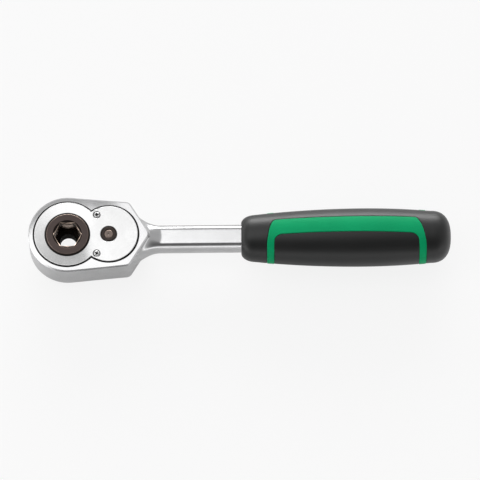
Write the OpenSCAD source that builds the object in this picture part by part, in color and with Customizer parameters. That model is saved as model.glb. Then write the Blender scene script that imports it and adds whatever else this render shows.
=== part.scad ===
// Reversible ratchet handle for hexagon bits: a forged pear-shaped head, a shank and a moulded handle.
// Z is the drive axis and points out of the bit socket. X runs along the shank towards the handle.
// The origin is on the drive axis, at the ground back face of the head. Sizes are in millimetres.

/* [Head] */
// Thickness of the head between its two ground faces
head_t = 16; // [14.5:0.5:20]
// Wall behind the mechanism
floor_t = 4.5; // [3.6:0.1:5.5]
// Rim of the head round the cover plate
rim_w = 2; // [1.2:0.1:4]
// Chamfer along the edges of both faces
edge_chamfer = 0.6; // [0.2:0.1:1]
// Rounding of the two shoulders beside the neck
shoulder_r = 2.8; // [1.5:0.1:5]
// Rounding of the nose above the neck
nose_r = 3.2; // [1.5:0.1:5]
// Direction that the sloping shoulder edges face, in degrees from the shank
slope_dir = 32; // [25:1:40]
// Turn of the outline at each shoulder, in degrees
shoulder_turn = 54; // [40:1:65]

/* [Neck and shank] */
// Length of the neck, from its flare to the shank
neck_len = 14; // [10:0.5:24]
// Distance of the flare behind the centres of the shoulders
flare_set = 2.6; // [0:0.1:4]
// Distance of the flare inside the shoulders' sides
flare_in = 1.4; // [0.5:0.1:4]
// Distance of the flare below each face
flare_drop = 1.8; // [0.8:0.1:3]
// Diameter of the shank
shank_d = 11.8; // [10:0.1:13]
// Thickness of the shank between its two flats
shank_t = 9.4; // [8:0.1:10]
// Length of the shank between the neck and the handle
shank_len = 32.4; // [15:0.1:80]
// Diameter of the tang inside the handle
tang_d = 8; // [6:0.1:9]
// Thickness of the tang between its two flats
tang_t = 6; // [4:0.1:7]
// Length of the tang
tang_len = 52; // [25:1:65]

/* [Cover plate] */
// Thickness of the plate
cover_t = 2; // [1.6:0.1:3]
// Gap between the plate and the rim
cover_gap = 0.2; // [0.1:0.05:0.4]
// Ledge under the plate, round the wheel
ledge_w = 1.2; // [0.8:0.1:3]
// Diameter of the screw heads
screw_head_d = 2.9; // [2.4:0.1:3.6]
// Height of the screw heads
screw_head_t = 0.9; // [0.6:0.1:1.2]
// Diameter of the screws
screw_d = 1.6; // [1.2:0.1:2]
// Length of the screws under their heads
screw_len = 6; // [4:0.5:9]
// Plate outside each screw head
screw_edge = 1.15; // [0.6:0.05:2]
// Metal between a screw and the pocket of the wheel
wheel_post = 1.1; // [0.6:0.1:2]
// Metal between a screw and the pocket of the pawl
pawl_post = 0.8; // [0.6:0.1:2]

/* [Drive wheel] */
// Number of teeth
wheel_teeth = 60; // [48:12:72]
// Radius over the tips of the teeth
wheel_r = 12.8; // [12:0.1:16]
// Height of the teeth
tooth_h = 0.55; // [0.4:0.05:0.7]
// Diameter of the hub that shows in the plate
hub_d = 18.8; // [17:0.1:20]
// Height of the hub above the plate
hub_proud = 0.3; // [0:0.1:1]
// Chamfer of the hub's edge
hub_chamfer = 0.4; // [0.1:0.1:0.6]
// Diameter of the journal in the back wall
journal_d = 16; // [13.5:0.1:18]
// Thickness of the washer under the wheel
washer_t = 0.5; // [0.3:0.1:1]
// Room round the tips of the teeth
wheel_room = 0.4; // [0.2:0.1:1]
// Wire thickness of the hub's grease seal
seal_d = 1; // [0.6:0.1:1.2]

/* [Bit socket] */
// Size of the bits across their flats
bit_af = 10; // [8:0.5:10.5]
// Play of a bit across its flats
bit_play = 0.1; // [0.05:0.05:0.3]
// Depth of the hexagon
socket_depth = 10.3; // [8:0.1:11.5]
// Diameter of the push-out bore behind the hexagon
push_d = 7; // [5:0.1:8]
// Diameter of the countersunk mouth
mouth_d = 12.5; // [11.6:0.1:14]
// Wire thickness of the bit retaining ring
ring_wire = 0.9; // [0.6:0.1:1.2]
// Depth of the bit retaining ring below the mouth
ring_set = 2.6; // [2.2:0.1:5]
// Opening of the bit retaining ring, in degrees
ring_open = 30; // [15:5:90]

/* [Pawl] */
// Radius over the noses of the pawl
pawl_r = 8.1; // [7.4:0.1:9]
// Radius of the back of the pawl
pawl_back_r = 6.2; // [5.6:0.1:7]
// Swing of the pawl to each side, in degrees
pawl_swing = 12; // [10:0.5:14]
// Metal between the selector and the wheel
pawl_bridge = 0.95; // [0.7:0.05:2]
// Gap between the pawl and the wheel at the middle of the throw
pawl_rest_gap = 0.3; // [0.2:0.05:0.5]
// Room round the pawl
pawl_room = 0.3; // [0.2:0.1:1]
// Direction of the first tooth that the pawl takes, in degrees from the shank
first_tooth_dir = 18; // [16:0.5:20]

/* [Selector] */
// Throw of the lever to each side, in degrees
lever_throw = 30; // [20:1:35]
// Diameter of the shaft inside the pawl
shaft_d = 6.8; // [6.6:0.1:8]
// Diameter of the shaft's end that shows in the plate
front_journal_d = 3.5; // [2.5:0.1:4.5]
// Diameter of the shaft in the back wall
rear_journal_d = 5.4; // [5.2:0.1:6]
// Outer diameter of the bush in the plate
bush_d = 6.8; // [5.5:0.1:7.5]
// Diameter of the plunger
plunger_d = 2; // [1.6:0.1:2.4]
// Length of the plunger's straight part
plunger_len = 2.2; // [1.5:0.1:2.6]
// Depth of the plunger's bore in the shaft
plunger_depth = 5.3; // [4.6:0.1:5.8]
// Wire thickness of the spring
spring_wire = 0.35; // [0.25:0.05:0.4]
// Number of turns of the spring
spring_turns = 4; // [3:1:5]
// Wire thickness of the grease seal in the back wall
lever_seal_d = 0.9; // [0.6:0.1:1.2]

/* [Lever] */
// Distance from the selector axis to the middle of the thumb pad
lever_len = 12.8; // [9:0.1:20]
// Thickness of the lever
lever_t = 3.6; // [3:0.1:5]
// Radius of the lever's hub
lever_hub_r = 4.8; // [4.2:0.1:6]
// Radius of the thumb pad
thumb_r = 3.4; // [2.5:0.1:4.5]
// Height of the thumb pad above the lever
thumb_rise = 1.2; // [0.5:0.1:2.5]
// Gap between the lever and the back face
lever_gap = 0.3; // [0.2:0.05:0.6]
// Width of the square end that the lever fits on
tenon_w = 3.7; // [3.4:0.1:3.8]
// Diameter of the lever's screw
lever_screw_d = 2.5; // [2:0.1:2.6]
// Length of the lever's screw
lever_screw_len = 6.5; // [5:0.5:8]
// Diameter of the screw's countersunk head
lever_screw_head_d = 4.6; // [3.6:0.1:5]

/* [Handle] */
// Length of the handle
handle_len = 89.4; // [80:0.1:130]
// Width at the front end
front_w = 18.6; // [17:0.1:22]
// Width at the belly
belly_w = 24.6; // [23:0.1:30]
// Width where the rounded end begins
rear_w = 22; // [20:0.1:26]
// Distance of the belly from the front end
belly_x = 51.4; // [40:0.1:58]
// Length of the rounded end
dome_len = 9.3; // [6:0.1:14]
// Rounding of the front edge
front_round = 2.2; // [1:0.1:4]
// Thickness of the soft skin over the core
skin_t = 2.4; // [2.1:0.1:3]
// Depth of the core behind the front end
core_front = 6; // [4:0.1:10]
// Depth of the core before the rear end
core_rear = 11; // [10:0.1:14]

/* [Inlays] */
// Depth of the inlays in the skin
inlay_depth = 1.2; // [0.8:0.1:1.3]
// Height of the inlays above the skin
inlay_proud = 0.12; // [0.05:0.01:0.4]
// Far edge of the bar, in degrees from the top of the handle
bar_far = 31; // [25:1:40]
// Near edge of the bar at its ends, in degrees from the top of the handle
bar_near = 8; // [4:1:12]
// Bow of the bar's near edge, in degrees
bar_bow = 3; // [0:0.5:5]
// Distance of the front leg from the front end
leg_front_x = 10.9; // [8:0.1:16]
// Distance of the rear leg's outer edge from the front end
leg_rear_x = 78.2; // [64:0.1:79]
// Width of the legs
leg_w = 3; // [2:0.1:5]
// Lean of the front leg towards the bar
lean_front = 2.5; // [0:0.1:5]
// Lean of the rear leg towards the bar
lean_rear = 3.8; // [0:0.1:6]
// Where the legs stop leaning, in degrees from the top of the handle
lean_end = 40; // [30:1:60]
// Where the legs end, in degrees from the top of the handle
leg_end = 112; // [90:1:116]
// Rounding inside the corners between bar and legs
inlay_corner_r = 3; // [1.5:0.1:4]

/* [Fits] */
// Radial clearance of turning pieces
run_gap = 0.05; // [0.02:0.01:0.1]
// Clearance of pieces that are fixed together
fit_gap = 0.05; // [0.02:0.01:0.1]
// End play of turning pieces
end_play = 0.1; // [0.05:0.05:0.2]
// Clearance along the flanks of teeth in mesh
mesh_gap = 0.07; // [0.05:0.01:0.1]

/* [Hidden] */
$fn = 96;

// Facets of a hull's own rounds
hull_fn = 32;
// How far every cut runs past the face that it opens
overrun = 1;
// Thickness of the slices that a loft of hulls is strung on
slice_t = 0.01;

// Levels along the drive axis
axis_z = head_t / 2;
cover_z = head_t - cover_t;
mouth_z = head_t + hub_proud;
wheel_z = floor_t + washer_t + end_play;
works_top = cover_z - end_play;
works_z = floor_t + end_play;
ring_z = mouth_z - ring_set;
plunger_z = (works_z + works_top) / 2;

// Radii of the works and their pockets
root_r = wheel_r - tooth_h;
hub_r = hub_d / 2;
hub_hole_r = hub_r + 2 * run_gap;
wheel_pocket_r = wheel_r + wheel_room;
wheel_lobe_r = wheel_pocket_r + ledge_w;
head_r = wheel_lobe_r + cover_gap + rim_w;
socket_r = (bit_af + bit_play) / 2;
socket_corner_r = socket_r / cos(30);
shaft_r = shaft_d / 2;
pawl_bore_r = shaft_r + run_gap;
pawl_pocket_r = pawl_r + pawl_room;

// Distance of the selector axis from the drive axis
pivot_x = wheel_r + pawl_rest_gap + pawl_bridge + pawl_bore_r;

// Place of the cover's screws, between the two pockets
screw_to_wheel = wheel_pocket_r + wheel_post + screw_d / 2;
screw_to_pivot = pawl_pocket_r + pawl_post + screw_d / 2;
screw_x = (pow(screw_to_wheel, 2) - pow(screw_to_pivot, 2) + pow(pivot_x, 2)) / (2 * pivot_x);
screw_y = sqrt(pow(screw_to_wheel, 2) - pow(screw_x, 2));
pawl_lobe_r = screw_to_pivot + screw_head_d / 2 + screw_edge;
// Width and depth of the screws' cross recess as shares of the head
recess_width_share = 0.2;
recess_length_share = 0.66;
recess_depth_share = 0.5;

// Outline of the head round the pawl's lobe
rim_reach = pawl_lobe_r + cover_gap + rim_w;
shoulder_dir = slope_dir + shoulder_turn / 2;
shoulder_reach = (rim_reach - shoulder_r) / cos(shoulder_turn / 2);
shoulder_x = pivot_x + shoulder_reach * cos(shoulder_dir);
shoulder_y = shoulder_reach * sin(shoulder_dir);
nose_x = pivot_x + (rim_reach - nose_r) / cos(slope_dir);

// Neck, shank and handle along the tool
flare_x = shoulder_x + flare_set;
flare_half_w = shoulder_y + shoulder_r - flare_in;
flare_half_t = head_t / 2 - flare_drop;
shank_x = flare_x + neck_len;
handle_x = shank_x + shank_len;
core_x = handle_x + core_front;
core_end_x = handle_x + handle_len - core_rear;
// Neck stations: share of its length, then share of the change from flare to shank
neck_shares = [[0, 0], [0.46, 0.6], [0.72, 0.9], [1, 1]];

// Teeth of the wheel: shares of the pitch at the tip and at the root
pitch_angle = 360 / wheel_teeth;
tip_share = 0.08;
root_share = 0.08;

// Bit retaining ring, which stands into the corners of the socket only
ring_stand = 0.25;
ring_r = socket_r + ring_stand + ring_wire / 2;

// Plunger and its recess in the pawl
plunger_r = plunger_d / 2;
plunger_tip = shaft_r + plunger_r;
recess_r = plunger_tip + run_gap;
recess_half = lever_throw - pawl_swing + asin((plunger_r + 2 * run_gap) / shaft_r);
spring_r = plunger_r - run_gap - spring_wire / 2;
spring_x = shaft_r - plunger_depth + spring_wire / 2;
spring_end_x = shaft_r - plunger_len - spring_wire / 2;
spring_sides = 6;
spring_steps = 10;

// Lever and its screw
lever_top = -lever_gap;
lever_bottom = lever_top - lever_t;
lever_sink = (lever_screw_head_d - lever_screw_d) / 2;
tenon_end = lever_bottom + lever_sink + end_play;

// Section of the handle: height as a share of the width, and the power of its outline
height_share = 0.92;
section_power = 2.2;
handle_sides = 40;
front_steps = 4;
body_steps = 16;
dome_steps = 8;

// Facets of the inlays and the sharpness of their outer corners
leg_steps = 12;
bar_steps = 10;
corner_steps = 6;
corner_share = 0.3;
inlay_corner_angle = inlay_corner_r / (belly_w / 2) * 180 / PI;
corner_dir = bar_near + inlay_corner_angle;

// Half the width of the handle at a distance from its front end
function body_half(x) = x < belly_x
    ? belly_w / 2 - (belly_w - front_w) / 2 * pow(1 - x / belly_x, 2)
    : belly_w / 2 - (belly_w - rear_w) / 2 * pow((x - belly_x) / (handle_len - dome_len - belly_x), 2);
function front_inset(x) = front_round - sqrt(pow(front_round, 2) - pow(max(0, front_round - x), 2));
function dome_factor(x) = sqrt(1 - pow(max(0, x - handle_len + dome_len) / dome_len, 2));
function handle_half(x) =
    (body_half(min(x, handle_len - dome_len)) - front_inset(x)) * dome_factor(x);

// Radius of a rounded section at an angle from its top
function section_r(half_w, half_h, angle) =
    pow(pow(abs(sin(angle)) / half_w, section_power) + pow(abs(cos(angle)) / half_h, section_power),
        -1 / section_power);

// Point of the handle's surface, raised by a height; the angle runs from the top towards -Y
function handle_point(x, angle, raise) =
    let (r = section_r(handle_half(x), handle_half(x) * height_share, angle) + raise)
    [handle_x + x, -r * sin(angle), axis_z + r * cos(angle)];

handle_stations = concat(
    [for (i = [0 : front_steps - 1]) front_round * (1 - cos(90 * i / front_steps))],
    [for (i = [0 : body_steps]) front_round + (handle_len - dome_len - front_round) * i / body_steps],
    [for (i = [1 : dome_steps - 1]) handle_len - dome_len * (1 - sin(90 * i / dome_steps))]
);

// Outline of an inlay on the handle: pairs of outer and inner edge, each a distance and an angle
function leg_lean(angle) = pow(max(0, lean_end - angle) / (lean_end + bar_far), 2);
function front_edge(angle) = leg_front_x + lean_front * leg_lean(angle);
function rear_edge(angle) = leg_rear_x - lean_rear * leg_lean(angle);
bar_start_x = front_edge(corner_dir) + leg_w + inlay_corner_r;
bar_end_x = rear_edge(corner_dir) - leg_w - inlay_corner_r;

// One pair at a corner; turn goes from 0 at the leg to 90 at the bar
function corner_angle(turn) = corner_dir - (corner_dir + bar_far) * pow(sin(turn), corner_share);
function corner_pair(edge_x, bar_x, toward, turn) = [
    [edge_x + (bar_x - edge_x) * (1 - pow(cos(turn), corner_share)), corner_angle(turn)],
    [bar_x - toward * inlay_corner_r * cos(turn), bar_near + inlay_corner_angle * (1 - sin(turn))]
];

inlay_pairs = concat(
    [for (i = [0 : leg_steps - 1])
        let (a = leg_end + (corner_dir - leg_end) * i / leg_steps)
        [[front_edge(a), a], [front_edge(a) + leg_w, a]]],
    [for (i = [0 : corner_steps - 1])
        let (t = 90 * i / corner_steps)
        corner_pair(front_edge(corner_angle(t)), bar_start_x, 1, t)],
    [for (i = [0 : bar_steps])
        let (x = bar_start_x + (bar_end_x - bar_start_x) * i / bar_steps)
        [[x, -bar_far], [x, bar_near - bar_bow * (1 - pow(2 * i / bar_steps - 1, 2))]]],
    [for (i = [corner_steps - 1 : -1 : 0])
        let (t = 90 * i / corner_steps)
        corner_pair(rear_edge(corner_angle(t)), bar_end_x, -1, t)],
    [for (i = [leg_steps - 1 : -1 : 0])
        let (a = leg_end + (corner_dir - leg_end) * i / leg_steps)
        [[rear_edge(a), a], [rear_edge(a) - leg_w, a]]]
);

// Two triangles between neighbouring rings of a loft
function quad_faces(a, b, c, d) = [[a, b, c], [a, c, d]];
function ring_faces(first, sides) = [
    for (k = [0 : sides - 1])
        each quad_faces(first + k, first + sides + k,
            first + sides + (k + 1) % sides, first + (k + 1) % sides)
];

// Solid of the whole handle, raised all over by a height
module handle_loft(raise = 0) {
    rings = len(handle_stations);
    points = concat(
        [for (x = handle_stations)
            for (k = [0 : handle_sides - 1]) handle_point(x, 360 * k / handle_sides, raise)],
        [[handle_x, 0, axis_z], [handle_x + handle_len + raise, 0, axis_z]]
    );
    front = rings * handle_sides;
    last = (rings - 1) * handle_sides;
    faces = concat(
        [for (i = [0 : rings - 2]) each ring_faces(i * handle_sides, handle_sides)],
        [for (k = [0 : handle_sides - 1]) [front, k, (k + 1) % handle_sides]],
        [for (k = [0 : handle_sides - 1]) [front + 1, last + (k + 1) % handle_sides, last + k]]
    );
    polyhedron(points, faces);
}

// Band along the outline of an inlay, from its floor to above the skin
module inlay_band() {
    points = [
        for (p = inlay_pairs)
            each [handle_point(p[0][0], p[0][1], -inlay_depth), handle_point(p[0][0], p[0][1], 2 * overrun),
                handle_point(p[1][0], p[1][1], 2 * overrun), handle_point(p[1][0], p[1][1], -inlay_depth)]
    ];
    last = 4 * (len(inlay_pairs) - 1);
    faces = concat(
        [for (i = [0 : len(inlay_pairs) - 2]) each ring_faces(4 * i, 4)],
        quad_faces(0, 1, 2, 3),
        quad_faces(last + 3, last + 2, last + 1, last)
    );
    polyhedron(points, faces);
}

// Turns a shape half a turn about the axis of the handle
module handle_half_turn() {
    translate([0, 0, axis_z])
        rotate([180, 0, 0])
            translate([0, 0, -axis_z])
                children();
}

// Bar along X, round with two flats, grown all over by a gap
module flat_bar(from_x, to_x, d, t, gap = 0) {
    translate([from_x, 0, axis_z])
        intersection() {
            rotate([0, 90, 0])
                cylinder(h = to_x - from_x, d = d + 2 * gap);
            translate([0, -d / 2 - gap, -t / 2 - gap])
                cube([to_x - from_x, d + 2 * gap, t + 2 * gap]);
        }
}

// Core of the handle: three radii joined by straight tapers
module core_form() {
    reach_front = handle_half(core_front) * height_share - skin_t;
    reach_belly = handle_half(belly_x) * height_share - skin_t;
    reach_rear = handle_half(handle_len - core_rear) * height_share - skin_t;
    translate([handle_x, 0, axis_z])
        rotate([0, 90, 0])
            rotate_extrude()
                polygon([
                    [0, core_front], [reach_front, core_front], [reach_belly, belly_x],
                    [reach_rear, handle_len - core_rear], [0, handle_len - core_rear]
                ]);
}

// Toothed outline of the wheel, grown outwards by a gap
module wheel_outline(gap = 0) {
    polygon([
        for (i = [0 : wheel_teeth - 1])
            for (p = [[root_share / 2 - 0.5, root_r], [-tip_share / 2, wheel_r],
                [tip_share / 2, wheel_r], [0.5 - root_share / 2, root_r]])
                let (a = (i + p[0]) * pitch_angle)
                (p[1] + gap) * [cos(a), sin(a)]
    ]);
}

// What the wheel needs of the pawl when the pawl is thrown to one side
module wheel_sweep(side) {
    big = 2 * wheel_r;
    rotate(-side * pawl_swing)
        translate([-pivot_x, 0]) {
            wheel_outline(mesh_gap);
            intersection() {
                circle(r = wheel_r + pawl_rest_gap);
                mirror([0, side < 0 ? 1 : 0])
                    rotate(first_tooth_dir)
                        translate([-big, -big])
                            square([2 * big, big]);
            }
        }
}

// Outline of the pawl about the selector axis
module pawl_outline() {
    difference() {
        union() {
            circle(r = pawl_back_r);
            intersection() {
                circle(r = pawl_r);
                translate([-pawl_r, -pawl_r])
                    square([pawl_r, 2 * pawl_r]);
            }
        }
        wheel_sweep(-1);
        wheel_sweep(1);
        translate([-pivot_x, 0])
            circle(r = wheel_r + pawl_rest_gap);
    }
}

// Places its children at both screws of the cover
module at_screws() {
    for (side = [-1, 1])
        translate([screw_x, side * screw_y, 0])
            children();
}

// Figure of eight of the cover plate, grown by a gap
module cover_form(z, h, gap = 0) {
    translate([0, 0, z])
        cylinder(h = h, r = wheel_lobe_r + gap);
    translate([pivot_x, 0, z])
        cylinder(h = h, r = pawl_lobe_r + gap);
}

// Disc of the head's hull, with both edges chamfered
module head_disc(x, y, r) {
    translate([x, y, 0])
        cylinder(h = head_t, r = r - edge_chamfer, $fn = 3 * hull_fn);
    translate([x, y, edge_chamfer])
        cylinder(h = head_t - 2 * edge_chamfer, r = r, $fn = 3 * hull_fn);
}

// Outside of the head, without the neck
module head_form() {
    hull() {
        head_disc(0, 0, head_r);
        head_disc(shoulder_x, shoulder_y, shoulder_r);
        head_disc(shoulder_x, -shoulder_y, shoulder_r);
        head_disc(nose_x, 0, nose_r);
    }
}

// Oval slice of the neck at one station
module neck_slice(station) {
    half_w = flare_half_w + (shank_d / 2 - flare_half_w) * station[1];
    half_t = flare_half_t + (shank_t / 2 - flare_half_t) * station[1];
    translate([flare_x + neck_len * station[0], 0, axis_z])
        rotate([90, 0, 90])
            linear_extrude(slice_t)
                scale([half_w, half_t])
                    circle(r = 1, $fn = hull_fn);
}

// Neck that flares from the shank into the head
module neck_form() {
    for (i = [0 : len(neck_shares) - 2])
        hull() {
            neck_slice(neck_shares[i]);
            neck_slice(neck_shares[i + 1]);
        }
}

// Forged head with its pockets, neck, shank and tang
module head_body() {
    color("gainsboro")
        difference() {
            union() {
                head_form();
                neck_form();
                flat_bar(shank_x, core_x, shank_d, shank_t);
                flat_bar(core_x, core_x + tang_len, tang_d, tang_t);
            }
            cover_form(cover_z, cover_t + overrun, cover_gap);
            translate([0, 0, floor_t])
                cylinder(h = head_t, r = wheel_pocket_r);
            translate([pivot_x, 0, floor_t])
                cylinder(h = head_t, r = pawl_pocket_r);
            translate([0, 0, -overrun])
                cylinder(h = head_t, d = journal_d + 2 * run_gap);
            translate([pivot_x, 0, -overrun])
                cylinder(h = head_t, d = rear_journal_d + 2 * run_gap);
            translate([pivot_x, 0, floor_t / 2 - lever_seal_d / 2 - fit_gap])
                cylinder(h = lever_seal_d + 2 * fit_gap, d = rear_journal_d + 2 * lever_seal_d + 4 * fit_gap);
            at_screws()
                translate([0, 0, cover_z - screw_len])
                    cylinder(h = head_t, d = screw_d + 2 * fit_gap);
        }
}

// Figure-of-eight plate that closes the works
module cover_plate() {
    color("silver")
        difference() {
            cover_form(cover_z, cover_t);
            translate([0, 0, cover_z - overrun])
                cylinder(h = cover_t + 2 * overrun, r = hub_hole_r);
            translate([pivot_x, 0, cover_z - overrun])
                cylinder(h = cover_t + 2 * overrun, d = bush_d + 2 * fit_gap);
            at_screws() {
                translate([0, 0, cover_z - overrun])
                    cylinder(h = cover_t + 2 * overrun, d = screw_d + 4 * fit_gap);
                translate([0, 0, head_t - screw_head_t])
                    cylinder(h = screw_head_t + overrun, d = screw_head_d + 2 * fit_gap);
            }
        }
}

// Two small screws with cross recesses
module cover_screws() {
    slot_w = screw_head_d * recess_width_share;
    slot_len = screw_head_d * recess_length_share;
    slot_t = screw_head_t * recess_depth_share;
    color("darkgray")
        at_screws()
            difference() {
                union() {
                    translate([0, 0, cover_z - screw_len + cover_t - screw_head_t])
                        cylinder(h = screw_len, d = screw_d);
                    translate([0, 0, head_t - screw_head_t])
                        cylinder(h = screw_head_t, d = screw_head_d);
                }
                for (turn = [0, 90])
                    rotate(turn)
                        translate([-slot_len / 2, -slot_w / 2, head_t - slot_t])
                            cube([slot_len, slot_w, slot_t + overrun]);
            }
}

// Bush that carries the front end of the selector shaft
module shaft_bush() {
    color("dimgray")
        translate([pivot_x, 0, cover_z])
            difference() {
                cylinder(h = cover_t, d = bush_d);
                translate([0, 0, -overrun])
                    cylinder(h = cover_t + 2 * overrun, d = front_journal_d + 2 * run_gap);
            }
}

// Washer that the wheel runs on
module thrust_washer() {
    color("darkgoldenrod")
        translate([0, 0, floor_t])
            difference() {
                cylinder(h = washer_t, r = root_r - wheel_room);
                translate([0, 0, -overrun])
                    cylinder(h = washer_t + 2 * overrun, d = journal_d + 4 * run_gap);
            }
}

// Ring of round wire about Z, open by an angle
module wire_ring(ring_radius, wire, open = 0) {
    rotate(open / 2)
        rotate_extrude(angle = 360 - open)
            translate([ring_radius, 0])
                circle(d = wire);
}

// Grease seal round the selector shaft, in the back wall
module lever_seal() {
    color("black")
        translate([pivot_x, 0, floor_t / 2])
            wire_ring(rear_journal_d / 2 + run_gap + lever_seal_d / 2, lever_seal_d);
}

// Toothed wheel with its hub, its journal and the bit socket
module ratchet_wheel() {
    seal_floor = hub_hole_r - run_gap - seal_d - fit_gap;
    color([0.35, 0.31, 0.3])
        difference() {
            union() {
                translate([0, 0, wheel_z])
                    linear_extrude(works_top - wheel_z)
                        wheel_outline();
                cylinder(h = wheel_z, d = journal_d);
                translate([0, 0, works_top])
                    cylinder(h = mouth_z - works_top - hub_chamfer, r = hub_r);
                translate([0, 0, mouth_z - hub_chamfer])
                    cylinder(h = hub_chamfer, r1 = hub_r, r2 = hub_r - hub_chamfer);
            }
            translate([0, 0, -overrun])
                cylinder(h = mouth_z, d = push_d);
            translate([0, 0, mouth_z - socket_depth])
                cylinder(h = socket_depth + overrun, r = socket_corner_r, $fn = 6);
            translate([0, 0, mouth_z - mouth_d / 2 + socket_r])
                cylinder(h = mouth_d / 2 - socket_r, r1 = socket_r, r2 = mouth_d / 2);
            translate([0, 0, ring_z - ring_wire / 2 - fit_gap])
                cylinder(h = ring_wire + 2 * fit_gap, r = ring_r + ring_wire / 2 + fit_gap);
            translate([0, 0, cover_z + cover_t / 2 - seal_d / 2 - fit_gap])
                difference() {
                    cylinder(h = seal_d + 2 * fit_gap, r = hub_r + overrun);
                    translate([0, 0, -overrun])
                        cylinder(h = seal_d + 2 * overrun, r = seal_floor);
                }
        }
}

// Sprung ring that holds a bit in the socket
module bit_retaining_ring() {
    color("lightsteelblue")
        translate([0, 0, ring_z])
            wire_ring(ring_r, ring_wire, ring_open);
}

// Grease seal between the hub and the plate
module hub_seal() {
    color("black")
        translate([0, 0, cover_z + cover_t / 2])
            wire_ring(hub_hole_r - run_gap - seal_d / 2, seal_d);
}

// Double-ended pawl with the recess that the plunger runs in
module pawl() {
    recess_h = plunger_d + 2 * run_gap;
    color("slategray")
        translate([pivot_x, 0, 0])
            difference() {
                translate([0, 0, works_z])
                    linear_extrude(works_top - works_z)
                        pawl_outline();
                translate([0, 0, works_z - overrun])
                    cylinder(h = head_t, r = pawl_bore_r);
                translate([0, 0, plunger_z])
                    rotate(-recess_half)
                        rotate_extrude(angle = 2 * recess_half)
                            translate([shaft_r / 2, -recess_h / 2])
                                square([recess_r - shaft_r / 2, recess_h]);
            }
}

// Shaft that the lever turns, with the plunger's bore and the square end for the lever
module selector_shaft() {
    color("dimgray")
        translate([pivot_x, 0, 0])
            difference() {
                union() {
                    translate([0, 0, works_z])
                        cylinder(h = works_top - works_z, d = shaft_d);
                    translate([0, 0, works_top])
                        cylinder(h = head_t - works_top, d = front_journal_d);
                    cylinder(h = works_z, d = rear_journal_d);
                    translate([-tenon_w / 2, -tenon_w / 2, tenon_end])
                        cube([tenon_w, tenon_w, -tenon_end]);
                }
                translate([shaft_r - plunger_depth, 0, plunger_z])
                    rotate([0, 90, 0])
                        cylinder(h = plunger_depth + overrun, d = plunger_d + 2 * run_gap);
                translate([0, 0, tenon_end - overrun])
                    cylinder(h = lever_bottom + lever_screw_len - tenon_end + overrun + end_play,
                        d = lever_screw_d + 2 * fit_gap);
            }
}

// Thumb lever on the back face
module reversing_lever() {
    color("dimgray")
        translate([pivot_x, 0, 0])
            difference() {
                union() {
                    hull() {
                        translate([0, 0, lever_bottom])
                            cylinder(h = lever_t, r = lever_hub_r, $fn = hull_fn);
                        translate([lever_len, 0, lever_bottom])
                            cylinder(h = lever_t, r = thumb_r, $fn = hull_fn);
                    }
                    hull() {
                        translate([lever_len, 0, lever_bottom - thumb_rise])
                            cylinder(h = lever_t, r = thumb_r, $fn = hull_fn);
                        translate([lever_len - thumb_r, 0, lever_bottom])
                            cylinder(h = lever_t, r = thumb_r, $fn = hull_fn);
                    }
                }
                translate([-tenon_w / 2 - fit_gap, -tenon_w / 2 - fit_gap, tenon_end - end_play])
                    cube([tenon_w + 2 * fit_gap, tenon_w + 2 * fit_gap, lever_t + overrun]);
                translate([0, 0, lever_bottom - overrun])
                    cylinder(h = lever_t, d = lever_screw_d + 2 * fit_gap);
                translate([0, 0, lever_bottom])
                    cylinder(h = lever_sink, d1 = lever_screw_head_d + 2 * fit_gap,
                        d2 = lever_screw_d + 2 * fit_gap);
                translate([0, 0, lever_bottom - overrun])
                    cylinder(h = overrun, d = lever_screw_head_d + 2 * fit_gap);
            }
}

// Countersunk screw that holds the lever on the shaft
module lever_screw() {
    slot_w = lever_screw_head_d * recess_width_share;
    slot_len = lever_screw_head_d * recess_length_share;
    slot_t = lever_sink * recess_depth_share;
    color("darkgray")
        translate([pivot_x, 0, lever_bottom])
            difference() {
                union() {
                    cylinder(h = lever_screw_len, d = lever_screw_d);
                    cylinder(h = lever_sink, d1 = lever_screw_head_d, d2 = lever_screw_d);
                }
                for (turn = [0, 90])
                    rotate(turn)
                        translate([-slot_len / 2, -slot_w / 2, -overrun])
                            cube([slot_len, slot_w, slot_t + overrun]);
            }
}

// Spring behind the plunger
module plunger_spring() {
    count = spring_turns * spring_steps;
    points = concat(
        [for (i = [0 : count])
            let (a = 360 * i / spring_steps, x = spring_x + (spring_end_x - spring_x) * i / count)
            for (k = [0 : spring_sides - 1])
                let (b = 360 * k / spring_sides, r = spring_r + spring_wire / 2 * cos(b))
                [x - spring_wire / 2 * sin(b), r * cos(a), r * sin(a)]]
    );
    last = count * spring_sides;
    faces = concat(
        [for (i = [0 : count - 1]) each ring_faces(i * spring_sides, spring_sides)],
        [for (k = [1 : spring_sides - 2]) [0, k, k + 1]],
        [for (k = [1 : spring_sides - 2]) [last, last + k + 1, last + k]]
    );
    color("silver")
        translate([pivot_x, 0, plunger_z])
            polyhedron(points, faces);
}

// Round-ended plunger that pushes the pawl over
module selector_plunger() {
    color("lightgray")
        translate([pivot_x + shaft_r, 0, plunger_z]) {
            rotate([0, -90, 0])
                cylinder(h = plunger_len, d = plunger_d);
            sphere(d = plunger_d);
        }
}

// Stiff core of the handle, moulded on the tang
module handle_core() {
    color([0.12, 0.13, 0.13])
        difference() {
            core_form();
            flat_bar(core_x - overrun, core_x + tang_len + fit_gap, tang_d, tang_t, fit_gap);
        }
}

// Green inlay on the near side
module grip_inlay_front() {
    color([0.06, 0.6, 0.38])
        intersection() {
            inlay_band();
            handle_loft(inlay_proud);
        }
}

// Green inlay on the far side
module grip_inlay_back() {
    handle_half_turn()
        grip_inlay_front();
}

// Soft black skin of the handle
module grip_cover() {
    color([0.14, 0.15, 0.15])
        difference() {
            handle_loft();
            core_form();
            flat_bar(handle_x - overrun, core_x + overrun, shank_d, shank_t, fit_gap);
            inlay_band();
            handle_half_turn()
                inlay_band();
        }
}

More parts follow.
